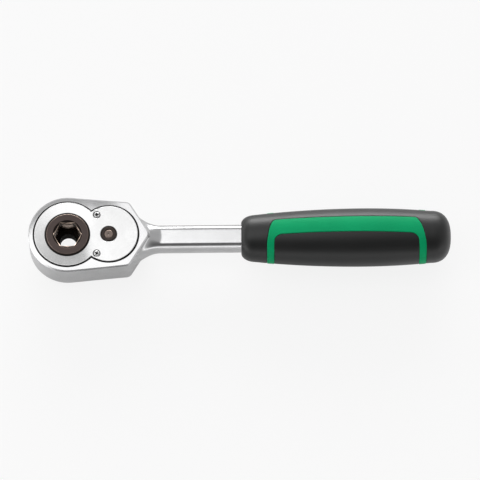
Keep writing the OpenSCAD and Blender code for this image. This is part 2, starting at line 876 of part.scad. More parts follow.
head_body();
cover_plate();
cover_screws();
shaft_bush();
thrust_washer();
lever_seal();
ratchet_wheel();
bit_retaining_ring();
hub_seal();
pawl();
selector_shaft();
reversing_lever();
lever_screw();
plunger_spring();
selector_plunger();
handle_core();
grip_inlay_front();
grip_inlay_back();
grip_cover();
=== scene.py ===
"""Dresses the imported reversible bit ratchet: forged head, plate, drive wheel, lever and two-colour handle."""

import math
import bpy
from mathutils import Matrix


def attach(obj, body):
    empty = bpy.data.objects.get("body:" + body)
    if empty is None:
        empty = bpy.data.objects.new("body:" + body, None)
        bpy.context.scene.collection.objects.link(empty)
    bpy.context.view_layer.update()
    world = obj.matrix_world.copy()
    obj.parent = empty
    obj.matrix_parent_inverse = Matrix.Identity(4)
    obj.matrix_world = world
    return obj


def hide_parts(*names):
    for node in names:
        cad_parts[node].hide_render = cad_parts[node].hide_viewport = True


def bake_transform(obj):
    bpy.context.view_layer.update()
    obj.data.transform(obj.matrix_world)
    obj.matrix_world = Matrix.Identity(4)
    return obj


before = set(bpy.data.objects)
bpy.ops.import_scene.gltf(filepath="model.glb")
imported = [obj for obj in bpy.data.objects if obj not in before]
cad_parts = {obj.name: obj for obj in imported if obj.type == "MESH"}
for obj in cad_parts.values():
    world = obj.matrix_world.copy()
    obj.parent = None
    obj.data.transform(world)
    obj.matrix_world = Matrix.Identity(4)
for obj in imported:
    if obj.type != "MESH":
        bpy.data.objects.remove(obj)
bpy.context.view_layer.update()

from types import SimpleNamespace

import bmesh
import bpy
import numpy as np
from mathutils import Quaternion, Vector, geometry

bl_info = {
    "name": "Reversible bit ratchet",
    "version": (1, 0, 0),
    "blender": (4, 5, 0),
    "location": "3D View > Sidebar > Ratchet",
    "description": "Builds the looks of a reversible bit ratchet round its packed frame",
    "category": "Object",
}

MM = 0.001

# Facets of a full turn: on large turned pieces, the hub's hole, shafts, screws, bores and small holes
TURN_STEPS = 192
HUB_STEPS = 160
SHAFT_STEPS = 96
SCREW_STEPS = 64
BORE_STEPS = 48
HOLE_STEPS = 32

# How near, in metres, two points are one point
SAME_POINT = 2e-7

# Play of a shaft or a screw in its hole, and how near a point is on a wall, in millimetres
FIT = 0.05
NEAR = 0.01

# A grain that isn't drawn out along any axis
EVEN = (1, 1, 1)


# Sizes and colours


def length(name, description, value):
    """A length that is given in millimetres and kept in metres."""
    return bpy.props.FloatProperty(
        name=name, description=description, default=value * MM, unit="LENGTH", precision=5
    )


def angle(name, description, value):
    """An angle that is given in degrees and kept in radians."""
    return bpy.props.FloatProperty(
        name=name, description=description, default=math.radians(value), unit="ROTATION", subtype="ANGLE"
    )


def share(name, description, value):
    """A plain number."""
    return bpy.props.FloatProperty(name=name, description=description, default=value)


def colour(name, description, value):
    """A colour in linear light."""
    return bpy.props.FloatVectorProperty(
        name=name, description=description, default=value, subtype="COLOR", size=3, min=0, max=1
    )


class RatchetHeadSizes(bpy.types.PropertyGroup):
    """Forged head, neck, shank and tang."""

    thickness: length("Thickness", "Thickness of the head", 16)
    head_r: length("Round end", "Radius of the head's round end", 16.6)
    shoulder_x: length("Shoulder along", "Distance of the shoulders from the drive axis", 24.4365)
    shoulder_y: length("Shoulder across", "Distance of the shoulders from the middle", 11.5443)
    shoulder_r: length("Shoulder radius", "Radius of the shoulders", 2.8)
    nose_x: length("Nose along", "Distance of the nose's centre from the drive axis", 31.1784)
    nose_r: length("Nose radius", "Radius of the nose", 3.2)
    chamfer: length("Chamfer", "Chamfer round both faces", 0.6)
    crown: length("Crown", "How far the polished faces fall towards their edge", 0.26)
    crown_span: length("Crown width", "How far from the edge the faces start to fall", 3.0)
    notch_span: length("Crown at the notch", "The same beside the notch of the plate", 6.5)
    crown_start: length("Crown start", "Where the faces begin to get flat", 14)
    crown_end: length("Crown end", "Where the faces are flat up to their edge", 26)
    neck_side_r: length("Neck at its side", "Fillet from the head to the side of the shank", 6.5)
    neck_top_r: length("Neck at its top", "Fillet from the head to the top of the shank", 3.3)
    shank_d: length("Shank width", "Diameter of the round of the shank", 11.8)
    shank_t: length("Shank thickness", "Thickness over the flats of the shank", 9.4)
    shank_edge_r: length("Shank edge", "Rounding of the shank's four edges", 0.5)
    shank_end: length("Shank end", "Where the shank ends in the handle", 79.4365)
    tang_d: length("Tang width", "Diameter of the round of the tang", 8)
    tang_t: length("Tang thickness", "Thickness over the flats of the tang", 6)
    tang_len: length("Tang length", "Length of the tang", 52)
    floor_t: length("Back wall", "Thickness of the wall under the works", 4.5)
    pivot_x: length("Selector along", "Distance of the selector axis from the drive axis", 17.5)
    wheel_pocket_r: length("Wheel pocket", "Radius of the pocket of the wheel", 13.2)
    pawl_pocket_r: length("Pawl pocket", "Radius of the pocket of the pawl", 8.4)
    drive_bore_r: length("Drive bore", "Radius of the bore for the wheel's journal", 8.05)
    selector_bore_r: length("Selector bore", "Radius of the bore for the selector shaft", 2.75)


class RatchetCoverSizes(bpy.types.PropertyGroup):
    """Plate, its screws and the bush."""

    thickness: length("Thickness", "Thickness of the plate", 2)
    wheel_lobe_r: length("Wheel lobe", "Radius of the lobe over the wheel", 14.4)
    pawl_lobe_r: length("Pawl lobe", "Radius of the lobe over the pawl", 12.6)
    gap: length("Gap", "Gap round the plate", 0.2)
    trim: length("Trim", "How far the plate's edge is drawn in by its polish", 0.3)
    shift: length("Shift", "How far the plate's edge lies towards the far side in its rebate", 0.12)
    dish: angle("Dish", "How far the wheel lobe slopes down to the hub", 4.4)
    edge_r: length("Edge", "Rounding of the plate's edges", 0.22)
    hub_hole_r: length("Hub hole", "Radius of the hole for the hub", 9.5)
    screw_x: length("Screws along", "Distance of the screws from the drive axis", 12.407)
    screw_y: length("Screws across", "Distance of the screws from the middle", 8.606)
    screw_head_d: length("Screw head", "Diameter of the screw heads", 2.9)
    screw_head_t: length("Screw head height", "Height of the screw heads", 0.9)
    screw_d: length("Screw", "Diameter of the screws", 1.6)
    screw_len: length("Screw length", "Length of the screws under the head", 6)
    bush_d: length("Bush", "Diameter of the bush", 6.8)
    bush_bore_r: length("Bush bore", "Radius of the bore in the bush", 1.8)


class RatchetDriveSizes(bpy.types.PropertyGroup):
    """Toothed wheel with its hub and the bit socket."""

    teeth: bpy.props.IntProperty(name="Teeth", description="Number of teeth", default=60, min=12)
    wheel_r: length("Wheel radius", "Radius over the teeth", 12.8)
    tooth_h: length("Tooth height", "Height of the teeth", 0.55)
    low: length("Wheel's back", "Where the toothed part starts", 5.1)
    high: length("Wheel's front", "Where the toothed part ends", 13.9)
    journal_r: length("Journal", "Radius of the journal in the back wall", 8)
    hub_r: length("Hub", "Radius of the hub", 9.4)
    hub_top: length("Hub top", "Height of the hub's face", 16.3)
    hub_chamfer: length("Hub chamfer", "Chamfer of the hub", 0.65)
    seal_floor_r: length("Seal groove", "Radius of the floor of the seal's groove", 8.4)
    across_flats: length("Socket", "Size of the hexagon over its flats", 10.1)
    socket_floor: length("Socket floor", "Height of the bottom of the socket", 6)
    mouth_r: length("Mouth", "Radius of the countersunk mouth", 6.25)
    push_r: length("Push-out bore", "Radius of the bore behind the socket", 3.5)
    ring_z: length("Ring", "Height of the retaining ring", 13.7)
    ring_groove_r: length("Ring groove", "Radius of the ring's groove", 6.25)
    ring_groove_h: length("Ring groove height", "Height of the ring's groove", 1)


class RatchetSelectorSizes(bpy.types.PropertyGroup):
    """Selector shaft, lever, screw, spring."""

    shaft_r: length("Shaft", "Radius of the shaft in the pawl", 3.4)
    front_r: length("Front end", "Radius of the shaft's front end", 1.75)
    rear_r: length("Rear end", "Radius of the shaft in the back wall", 2.7)
    works_low: length("Works' back", "Where the thick part starts", 4.6)
    works_high: length("Works' front", "Where the thick part ends", 13.9)
    tenon_w: length("Square", "Width of the square that turns the shaft", 3.7)
    tenon_end: length("Square end", "Where the square ends", -2.75)
    lever_len: length("Lever length", "Distance from the axis to the thumb piece", 12.8)
    lever_hub_r: length("Lever hub", "Radius of the lever's hub", 4.8)
    thumb_r: length("Thumb piece", "Radius of the thumb piece", 3.4)
    lever_top: length("Lever's inner face", "Height of the face towards the head", -0.3)
    lever_low: length("Lever's outer face", "Height of the outer face at the hub", -3.9)
    pad_low: length("Thumb pad", "Height of the thumb pad", -4.85)
    rib_low: length("Ribs", "Height of the tops of the ribs", -5.1)
    lever_edge_r: length("Lever edge", "Rounding of the lever's outer edge", 0.9)
    ribs: bpy.props.IntProperty(name="Ribs", description="Ribs on the thumb pad", default=4, min=1)
    screw_r: length("Lever screw", "Radius of the lever's screw", 1.25)
    screw_head_r: length("Lever screw head", "Radius of its countersunk head", 2.3)
    screw_end: length("Lever screw end", "Height of the end of the screw", 2.6)
    plunger_z: length("Plunger", "Height of the plunger's axis", 9.25)
    plunger_r: length("Plunger radius", "Radius of the plunger", 1)
    plunger_depth: length("Plunger bore", "Depth of the plunger's bore", 5.3)
    spring_wire: length("Spring wire", "Diameter of the spring's wire", 0.35)
    spring_turns: share("Spring turns", "Turns of the spring", 4)
    spring_start: length("Spring start", "Where the spring starts, from the axis", -1.725)
    spring_end: length("Spring end", "Where the spring ends, from the axis", 1.025)


class RatchetHandleSizes(bpy.types.PropertyGroup):
    """Handle: soft skin and its grooves."""

    start: length("Start", "Where the handle starts", 73.4365)
    long: length("Length", "Length of the handle", 89.4)
    front_w: length("Front width", "Width at the front", 18.6)
    belly_w: length("Belly width", "Width at the belly", 24.6)
    rear_w: length("Rear width", "Width before the rounded end", 22)
    belly_x: length("Belly", "Distance of the belly from the front", 51.4)
    dome_len: length("Dome", "Length of the rounded end", 9.3)
    dome_cut: length("Dome cut", "How far the rounded end is flattened", 0.55)
    dome_power: share("Dome power", "How blunt the rounded end is, 2 being round", 2.5)
    front_round: length("Front rounding", "Rounding of the front edge", 2.9)
    front_run: length("Front rounding length", "Length of the front edge's rounding", 4.8)
    height_share: share("Height", "Height as a share of the width", 0.92)
    power: share("Squareness", "Power of the section's outline", 2.2)
    skin_t: length("Skin", "Thickness of the skin over the core", 2.4)
    core_front: length("Core front", "Distance of the core from the front", 6)
    core_rear: length("Core rear", "Distance of the core from the rear end", 11)
    groove_edge_r: length("Groove edge", "Rounding of the skin beside an inlay", 0.36)
    groove_depth: length("Groove depth", "Depth of the inlays' grooves", 1.25)


class RatchetInlaySizes(bpy.types.PropertyGroup):
    """Green inlays of the handle."""

    bar_far: angle("Far edge", "Angle of the bar's far edge from the top", 31)
    bar_near: angle("Near edge", "Angle of the bar's near edge from the top", 8)
    bar_bow: angle("Bow", "How far the near edge bows up in its middle", 3)
    leg_front_x: length("Front leg", "Distance of the front leg from the handle's front", 10.9)
    leg_rear_x: length("Rear leg", "Distance of the rear leg from the handle's front", 78.2)
    leg_w: length("Leg width", "Width of the legs", 3)
    lean_front: length("Front lean", "How far the front leg leans towards the bar", 2.5)
    lean_rear: length("Rear lean", "How far the rear leg leans towards the bar", 3.8)
    lean_end: angle("Lean end", "Angle at which the legs stop leaning", 40)
    leg_end: angle("Leg end", "Angle at which the legs end", 112)
    corner_r: length("Inner corner", "Radius of the inner corners", 3.8)
    corner_share: share("Outer corner", "Sharpness of the outer corners", 0.22)
    depth: length("Depth", "Depth of the inlays in the skin", 1.2)
    proud: length("Proud", "How far the inlays stand proud of the skin", 0.12)
    edge_r: length("Edge", "Rounding of the inlays' edges", 0.3)


class RatchetFinishes(bpy.types.PropertyGroup):
    """Colours of the finishes."""

    chrome: colour("Chrome", "Satin chrome of the forging", (0.6, 0.6, 0.605))
    plate: colour("Plate", "Satin steel of the plate", (0.6, 0.6, 0.6))
    screw: colour("Screws", "Bright steel of the screws", (0.42, 0.42, 0.42))
    bright: colour("Screw edge", "Steel that shows at the screws' worn edges", (0.8, 0.8, 0.8))
    blackened: colour("Blackened steel", "Browned steel of the wheel and the lever", (0.074, 0.058, 0.054))
    bush: colour("Bush", "Darker browned steel of the bush", (0.045, 0.037, 0.034))
    # painted shade as well as old grease: this colour darkens gaps and recesses where shade falls
    grime: colour("Grime", "Old grease in gaps and recesses", (0.012, 0.011, 0.01))
    worn: colour("Worn edge", "Steel that shows at worn edges", (0.58, 0.45, 0.37))
    hardened: colour("Hardened steel", "Ground steel of the works", (0.17, 0.135, 0.12))
    spring: colour("Spring steel", "Drawn wire", (0.16, 0.15, 0.145))
    bronze: colour("Bronze", "Thrust washer", (0.56, 0.4, 0.2))
    rubber: colour("Rubber", "Seals", (0.02, 0.02, 0.02))
    core: colour("Core", "Stiff plastic of the core", (0.03, 0.033, 0.033))
    green: colour("Green", "Plastic of the inlays", (0.001, 0.345, 0.131))
    skin: colour("Skin", "Soft black skin", (0.003, 0.0035, 0.0035))


class RatchetStageSizes(bpy.types.PropertyGroup):
    """Floor, light and camera."""

    floor_z: length("Floor", "Height of the floor", -5.2)
    floor_r: length("Floor radius", "Radius of the flat floor", 2600)
    pale: colour("Floor colour", "Colour of the floor", (0.8, 0.8, 0.8))
    glow: share("Floor glow", "How much of the floor near the tool is plain white to the camera", 0.85)
    sheen: share("Floor sheen", "How much of the floor near the tool is plain white in reflections", 0.25)
    # painted light: a pool of white that only reflections see, on the floor behind the handle and to its right
    sheen_right: share("Floor sheen, right", "The same behind the handle and to its right", 0.8)
    lamp_w: share("Lamp", "Power of the soft overhead lamp in watts", 2.35)
    lamp_long: length("Lamp length", "Length of the overhead lamp", 1000)
    lamp_deep: length("Lamp depth", "Depth of the overhead lamp", 540)
    lamp_x: length("Lamp along", "How far the lamp hangs along the tool", -395)
    lamp_y: length("Lamp across", "How far the lamp hangs behind the tool", 148)
    lamp_h: length("Lamp height", "Height of the overhead lamp", 1000)
    zenith: share("Zenith", "Brightness of the world overhead", 0.55)
    far_side: share("Far side", "Brightness of the world low on the far side", 11.0)
    left: share("Left", "Brightness of the world low on the left", 1.7)
    front: share("Front", "Brightness of the world low in front of the tool", 1.3)
    near_side: share("Near side", "How much darker the world is on the side of the camera", 0.7)
    elevation: angle("Elevation", "Height of the camera above the horizon", 71)
    roll: angle("Roll", "How far the tool rises to the right in the picture", 0.55)
    distance: length("Distance", "Distance of the camera", 2000)
    target_x: length("Target along", "Where the camera looks, along the tool", 72.9)
    target_y: length("Target across", "Where the camera looks, across the tool", -0.58)
    target_z: length("Target height", "Where the camera looks, in height", 8)
    width: length("Width", "Width of the picture at the target", 203.5)


GROUPS = {
    "ratchet_head": RatchetHeadSizes,
    "ratchet_cover": RatchetCoverSizes,
    "ratchet_drive": RatchetDriveSizes,
    "ratchet_selector": RatchetSelectorSizes,
    "ratchet_handle": RatchetHandleSizes,
    "ratchet_inlay": RatchetInlaySizes,
    "ratchet_finish": RatchetFinishes,
    "ratchet_stage": RatchetStageSizes,
}


def sizes(name):
    """A group's values: lengths in millimetres, the rest as they are."""
    group = getattr(bpy.context.scene, name)
    values = {}
    for key in GROUPS[name].__annotations__:
        kind = group.bl_rna.properties[key]
        value = getattr(group, key)
        if getattr(kind, "unit", "NONE") == "LENGTH":
            value = value / MM
        values[key] = tuple(value) if getattr(kind, "is_array", False) else value
    return SimpleNamespace(**values)


# Meshes


def smoothstep(low, high, x):
    """0 below low and 1 above high, with a smooth rise between."""
    t = np.clip((x - low) / (high - low), 0, 1)
    return t * t * (3 - 2 * t)


def full_turn(count):
    """Angles that share out a full turn."""
    return np.arange(count) * 2 * math.pi / count


def band(low, high, count):
    """Quads between two closed rings, given by the numbers of their first points."""
    return [(low + k, low + (k + 1) % count, high + (k + 1) % count, high + k) for k in range(count)]


def ring_faces(rows, columns, first=0):
    """Quads between the neighbouring rows of closed rings."""
    starts = [first + i * columns for i in range(rows)]
    return [quad for low, high in zip(starts, starts[1:]) for quad in band(low, high, columns)]


def mend(mesh, outwards=False):
    """Merges a mesh's doubles, takes out faces without an area and may turn the rest outwards."""
    shape = bmesh.new()
    shape.from_mesh(mesh)
    bmesh.ops.remove_doubles(shape, verts=shape.verts, dist=SAME_POINT)
    bmesh.ops.dissolve_degenerate(shape, edges=shape.edges, dist=SAME_POINT / 4)
    if outwards:
        bmesh.ops.recalc_face_normals(shape, faces=shape.faces)
    shape.to_mesh(mesh)
    shape.free()


def put(name, data):
    """A new object in the scene."""
    made = bpy.data.objects.new(name, data)
    bpy.context.scene.collection.objects.link(made)
    return made


def piece(name, points, faces, wear=None):
    """A closed mesh object from points in millimetres, with its doubles merged and its faces outwards."""
    mesh = bpy.data.meshes.new(name)
    faces = [tuple(dict.fromkeys(map(int, face))) for face in faces]
    mesh.from_pydata((np.asarray(points, float) * MM).tolist(), [], faces)
    if wear is not None:
        mesh.attributes.new("wear", "FLOAT", "POINT").data.foreach_set("value", np.asarray(wear, np.float32))
    mend(mesh, outwards=True)
    return put(name, mesh)


def plain_mesh(made):
    """Takes up an object's modifiers in its mesh."""
    bpy.context.view_layer.update()
    found = made.evaluated_get(bpy.context.evaluated_depsgraph_get())
    mesh = bpy.data.meshes.new_from_object(found)
    mesh.name = made.name
    made.modifiers.clear()
    made.data = mesh
    return made


def spots_of(made):
    """The points of a piece in millimetres."""
    flat = np.empty(len(made.data.vertices) * 3)
    made.data.vertices.foreach_get("co", flat)
    return flat.reshape(-1, 3) / MM


def mark(made, name, values):
    """Keeps a share on each point of a piece, on top of what is there."""
    layer = made.data.attributes.get(name) or made.data.attributes.new(name, "FLOAT", "POINT")
    before = np.empty(len(made.data.vertices), np.float32)
    layer.data.foreach_get("value", before)
    layer.data.foreach_set("value", np.maximum(before, values).astype(np.float32))


def join_up(made, *others, operation="DIFFERENCE"):
    """Cuts other solids out of a piece, or adds them to it, and removes them."""
    for other in others:
        step = made.modifiers.new(other.name, "BOOLEAN")
        step.operation = operation
        step.solver = "EXACT"
        step.object = other
    mend(plain_mesh(made).data)
    for other in others:
        bpy.data.objects.remove(other)
    return made


def soften(corners, steps=4):
    """A profile whose corners (radius, height, rounding) are rounded; each point ends with its wear."""
    points = []
    count = len(corners)
    for i, corner in enumerate(corners):
        here = np.array(corner[:2], float)
        rounding = corner[2] if len(corner) > 2 else 0
        if not rounding:
            points.append((here[0], here[1], 0.0))
            continue
        back = np.array(corners[i - 1][:2], float) - here
        on = np.array(corners[(i + 1) % count][:2], float) - here
        back, on = back / np.linalg.norm(back), on / np.linalg.norm(on)
        half = math.acos(np.clip(back @ on, -1, 1)) / 2
        middle = (back + on) / np.linalg.norm(back + on)
        centre = here + middle * rounding / math.sin(half)
        start, end = here + back * rounding / math.tan(half), here + on * rounding / math.tan(half)
        held = 0.2 * rounding
        points.append((*(start + back * held), 0.0))
        for k in range(steps + 1):
            t = k / steps
            spoke = (1 - t) * (start - centre) + t * (end - centre)
            point = centre + spoke / np.linalg.norm(spoke) * rounding
            points.append((point[0], point[1], math.sin(math.pi * t)))
        points.append((*(end + on * held), 0.0))
    return points


def turned(name, rows, centre=(0, 0), steps=TURN_STEPS):
    """A solid from a closed list of rings (radius, height, wear); both measures may change round the axis."""
    turn = full_turn(steps)
    points = [
        np.stack([centre[0] + r * np.cos(turn), centre[1] + r * np.sin(turn), z + 0 * turn], 1)
        for r, z, _ in rows
    ]
    faces = ring_faces(len(rows), steps) + band((len(rows) - 1) * steps, 0, steps)
    return piece(name, np.concatenate(points), faces, np.repeat([worn for _, _, worn in rows], steps))


def lathe(name, corners, centre=(0, 0), steps=TURN_STEPS):
    """A solid turned about an upright axis from a closed profile of corners."""
    return turned(name, soften(corners), centre, steps)


def prism(name, outline, low, high, low_scale=1.0, centre=(0, 0)):
    """A solid between two flat copies of an outline, the lower one scaled."""
    count = len(outline)
    points = [
        (centre[0] + x * s, centre[1] + y * s, z)
        for s, z in ((low_scale, low), (1.0, high))
        for x, y in outline
    ]
    faces = ring_faces(2, count) + [tuple(range(count)), tuple(range(count, 2 * count))]
    return piece(name, points, faces)


def square_outline(width):
    """Corners of a square."""
    half = width / 2
    return [(half, -half), (half, half), (-half, half), (-half, -half)]


def cross_outline(long, wide):
    """Outline of a cross recess."""
    a, b = long / 2, wide / 2
    quarter = [(a, -b), (a, b), (b, b)]
    points = []
    for _ in range(4):
        points += quarter
        quarter = [(-y, x) for x, y in quarter]
    return points


def sides_of(loops):
    """The straight sides of closed loops, each with its two ends."""
    for loop in loops:
        start = np.asarray(loop, float)
        yield from zip(start, np.roll(start, -1, 0))


def inside(points, loops):
    """True for each point that an odd number of the closed loops surrounds."""
    x, y = points[:, 0], points[:, 1]
    odd = np.zeros(len(points), bool)
    for (xa, ya), (xb, yb) in sides_of(loops):
        if ya != yb:
            odd ^= ((ya > y) != (yb > y)) & (x < (xb - xa) * (y - ya) / (yb - ya) + xa)
    return odd


def clear_of(points, loops, gap):
    """True for each point that lies further than a gap from the closed loops."""
    keep = np.ones(len(points), bool)
    for a, b in sides_of(loops):
        t = np.clip(((points - a) @ (b - a)) / ((b - a) @ (b - a)), 0, 1)
        keep &= ((points - a - t[:, None] * (b - a)) ** 2).sum(1) > gap * gap
    return keep


def rooms(triangles, walls):
    """Groups of triangles that join without crossing a wall and don't lie open to the outside."""
    walls = {frozenset(wall) for wall in walls}
    doors = {}
    for i, (a, b, c) in enumerate(triangles.tolist()):
        for side in (frozenset((a, b)), frozenset((b, c)), frozenset((c, a))):
            if side not in walls:
                doors.setdefault(side, []).append(i)
    beside = [[] for _ in triangles]
    outside = set()
    for pair in doors.values():
        if len(pair) == 2:
            beside[pair[0]].append(pair[1])
            beside[pair[1]].append(pair[0])
        else:
            outside.add(pair[0])
    seen, found = [False] * len(triangles), []
    for start in range(len(triangles)):
        if seen[start]:
            continue
        room, seen[start] = [start], True
        for i in room:
            for j in beside[i]:
                if not seen[j]:
                    seen[j] = True
                    room.append(j)
        if outside.isdisjoint(room):
            found.append(room)
    return found


def fill(loops, extra=()):
    """Triangles of the area that the loops bound, on the loops' points and the extra ones, in that order."""
    points, edges = [], []
    for loop in loops:
        first = len(points)
        points += [tuple(p) for p in loop]
        edges += [(first + i, first + (i + 1) % len(loop)) for i in range(len(loop))]
    points += [tuple(p) for p in extra]
    made = geometry.delaunay_2d_cdt([Vector(p) for p in points], edges, [], 0, 1e-7)
    back = [origin[0] if origin else -1 for origin in made[3]]
    if -1 in back:
        raise ValueError("the loops of a filled area cross each other")
    triangles = np.array([[back[i] for i in face] for face in made[2]])
    spots = np.array(points)[triangles]
    sides = spots[:, 1:] - spots[:, :1]
    area = np.abs(sides[:, 0, 0] * sides[:, 1, 1] - sides[:, 0, 1] * sides[:, 1, 0])
    vote = np.where(inside(spots.mean(1), loops), area, -area)
    kept = [i for room in rooms(triangles, edges) if vote[room].sum() > 0 for i in room]
    return triangles[sorted(kept)]


def flat_grid(low, high, spacing):
    """Points of an even grid inside a flat area."""
    counts = [max(2, int(round((b - a) / spacing))) for a, b in zip(low, high)]
    axes = [np.linspace(a, b, n + 1)[1:-1] for a, b, n in zip(low, high, counts)]
    return np.stack(np.meshgrid(*axes, indexing="ij"), -1).reshape(-1, 2)


def rounded_edge(radius, steps):
    """Rows over a rounded edge from the face to the wall: inset, depth under the face and wear."""
    turns = [math.pi / 2 * k / steps for k in range(steps + 1)]
    return [(radius * (1 - math.sin(t)), radius * (1 - math.cos(t)), math.sin(2 * t)) for t in turns]


def plate(name, loops, low, high, edge_r, sink, spacing=0.9, steps=3):
    """A flat solid with rounded edges and a sunk top; its loops give their points at an inset."""
    last = 1.4 * edge_r
    edge = rounded_edge(edge_r, steps)
    rows = [(last, low, 0)] + [(inset, low + depth, worn) for inset, depth, worn in edge]
    rows += [(inset, high - depth, worn) for inset, depth, worn in reversed(edge)] + [(last, high, 0)]
    points, faces, wear, ends = [], [], [], ([], [])
    for loop in loops:
        count = len(loop(0))
        first = len(points)
        for i, (inset, z, worn) in enumerate(rows):
            spot = np.array(loop(inset))
            fall = sink(*spot.T) if i > steps + 1 else np.zeros(count)
            points += np.column_stack([spot, z - fall]).tolist()
            wear += [worn] * count
        faces += ring_faces(len(rows), count, first)
        ends[0].extend(range(first, first + count))
        ends[1].extend(range(first + (len(rows) - 1) * count, len(points)))
    rims = [np.array(loop(last)) for loop in loops]
    grid = flat_grid(rims[0].min(0), rims[0].max(0), spacing)
    grid = grid[inside(grid, rims)]
    grid = grid[clear_of(grid, rims, spacing / 2)]
    for end, level in zip(ends, (np.full(len(grid), low), high - sink(*grid.T))):
        first = len(points)
        end.extend(range(first, first + len(grid)))
        points += np.column_stack([grid, level]).tolist()
        wear += [0.0] * len(grid)
        faces += [[end[i] for i in t] for t in fill(rims, grid)]
    return piece(name, points, faces, wear)


# Nodes


class Link:
    """A socket in an expression: its operators add Math nodes."""

    def __init__(self, nodes, socket):
        self.nodes, self.socket = nodes, socket

    def math(self, operation, *values):
        """A Math node on values and links."""
        return self.nodes.add("ShaderNodeMath", {"operation": operation}, dict(enumerate(values)))

    def __add__(self, other):
        return self.math("ADD", self, other)

    def __radd__(self, other):
        return self.math("ADD", other, self)

    def __sub__(self, other):
        return self.math("SUBTRACT", self, other)

    def __rsub__(self, other):
        return self.math("SUBTRACT", other, self)

    def __mul__(self, other):
        return self.math("MULTIPLY", self, other)

    def __rmul__(self, other):
        return self.math("MULTIPLY", other, self)

    def clamp(self, low, high):
        """The value mapped from between low and high to between 0 and 1."""
        return self.nodes.add("ShaderNodeMapRange", {"interpolation_type": "SMOOTHSTEP"},
                              {"Value": self, "From Min": low, "From Max": high})


class Nodes:
    """A node tree that is built node by node."""

    def __init__(self, tree):
        self.tree = tree

    def find(self, sockets, key):
        """A socket by its place, its identifier or its name."""
        if isinstance(key, int):
            return sockets[key]
        for socket in sockets:
            if key in (socket.identifier, socket.name) and socket.enabled:
                return socket
        raise KeyError(key)

    def add(self, kind, settings=None, values=None, output=0):
        """A node of a kind: its settings are set first, then the values or links of its sockets."""
        node = self.tree.nodes.new(kind)
        for key, value in (settings or {}).items():
            setattr(node, key, value)
        for key, value in (values or {}).items():
            socket = self.find(node.inputs, key)
            if isinstance(value, Link):
                self.tree.links.new(value.socket, socket)
            else:
                socket.default_value = value
        return Link(self, self.find(node.outputs, output)) if len(node.outputs) else node

    def along(self, vector, x, y, z):
        """How far a vector goes in a direction."""
        ends = {0: vector, 1: (x, y, z)}
        return self.add("ShaderNodeVectorMath", {"operation": "DOT_PRODUCT"}, ends, "Value")

    def vector(self, **values):
        """A vector from its X, Y and Z."""
        return self.add("ShaderNodeCombineXYZ", None, values)


class Finish(Nodes):
    """A procedural finish on the piece's own coordinates."""

    def __init__(self, name):
        self.material = bpy.data.materials.new(name + "_finish")
        self.material.use_nodes = True
        super().__init__(self.material.node_tree)
        self.tree.nodes.clear()
        self.place = self.add("ShaderNodeTexCoord", output="Object")

    def noise(self, size, detail=2.0, stretch=EVEN):
        """Noise with features of a size in millimetres, drawn out along an axis by its share."""
        vector = self.place
        if stretch != EVEN:
            vector = self.add("ShaderNodeMapping", None, {"Vector": self.place, "Scale": stretch})
        return self.add("ShaderNodeTexNoise", None,
                        {"Vector": vector, "Scale": 1 / (size * MM), "Detail": detail, "Roughness": 0.55})

    def mix(self, factor, first, second):
        """A colour between two colours."""
        return self.add("ShaderNodeMix", {"data_type": "RGBA"}, {
            "Factor_Float": factor,
            "A_Color": first if isinstance(first, Link) else (*first, 1),
            "B_Color": second if isinstance(second, Link) else (*second, 1),
        }, "Result_Color")

    def mark(self, name):
        """A share that is kept on the piece's points, such as its wear."""
        return self.add("ShaderNodeAttribute", {"attribute_name": name}, None, "Fac")

    def bump(self, height):
        """A normal from a height in millimetres."""
        return self.add("ShaderNodeBump", None, {"Strength": 1.0, "Distance": MM, "Height": height})

    def finish(self, **values):
        """Ends the tree in a Principled shader with these values."""
        names = {key.replace("_", " ").title().replace("Ior", "IOR"): value for key, value in values.items()}
        shader = self.add("ShaderNodeBsdfPrincipled", None, names)
        self.add("ShaderNodeOutputMaterial", None, {"Surface": shader})
        return self.material


def tint(base, factor):
    """A colour made darker or lighter by a factor."""
    return tuple(min(1.0, c * factor) for c in base)


def satin_metal(
    name, base, roughness, grain=EVEN, grain_size=0.25, grain_depth=0.004, worn=None, wave=0.0
):
    """Metal with a fine grain, cloudy handling marks, an uneven polish, if asked for worn edges, and old grease
    with painted shade in marked gaps and recesses.
    """
    cloud_size, wave_size, wear_size = 9.0, 26.0, 1.2
    m = Finish(name)
    cloud = m.noise(cloud_size, 3.0)
    fine = m.noise(grain_size, 2.0, grain)
    height = grain_depth * fine
    if wave:
        height = height + wave * m.noise(wave_size, 0.0)
    tone = m.mix(cloud.clamp(0.3, 0.7), tint(base, 0.94), tint(base, 1.04))
    if worn:
        rub = m.mark("wear") * m.noise(wear_size, 3.0).clamp(0.18, 0.44)
        tone = m.mix(rub, tone, worn)
        roughness = roughness - 0.16 * rub
    # painted shade: points marked in gaps and recesses turn dark and rough, standing for old grease and the
    # shade that falls there
    grease_shade = m.mark("grime")
    return m.finish(
        base_color=m.mix(grease_shade, tone, sizes("ratchet_finish").grime),
        metallic=1.0,
        roughness=roughness + 0.45 * grease_shade + 0.07 * (cloud - 0.5) + 0.1 * (fine - 0.5),
        normal=m.bump(height),
    )


def moulded_plastic(name, base, roughness, grain_size, grain_depth, specular):
    """Moulded plastic or rubber with the fine grain of its mould and a slight change of tone."""
    cloud_size = 14.0
    m = Finish(name)
    cloud = m.noise(cloud_size, 3.0)
    fine = m.noise(grain_size, 1.5)
    return m.finish(
        base_color=m.mix(cloud.clamp(0.3, 0.7), tint(base, 0.96), tint(base, 1.04)),
        roughness=roughness + 0.08 * (cloud - 0.5) + 0.14 * (fine - 0.5),
        specular_ior_level=specular,
        normal=m.bump(grain_depth * fine),
    )


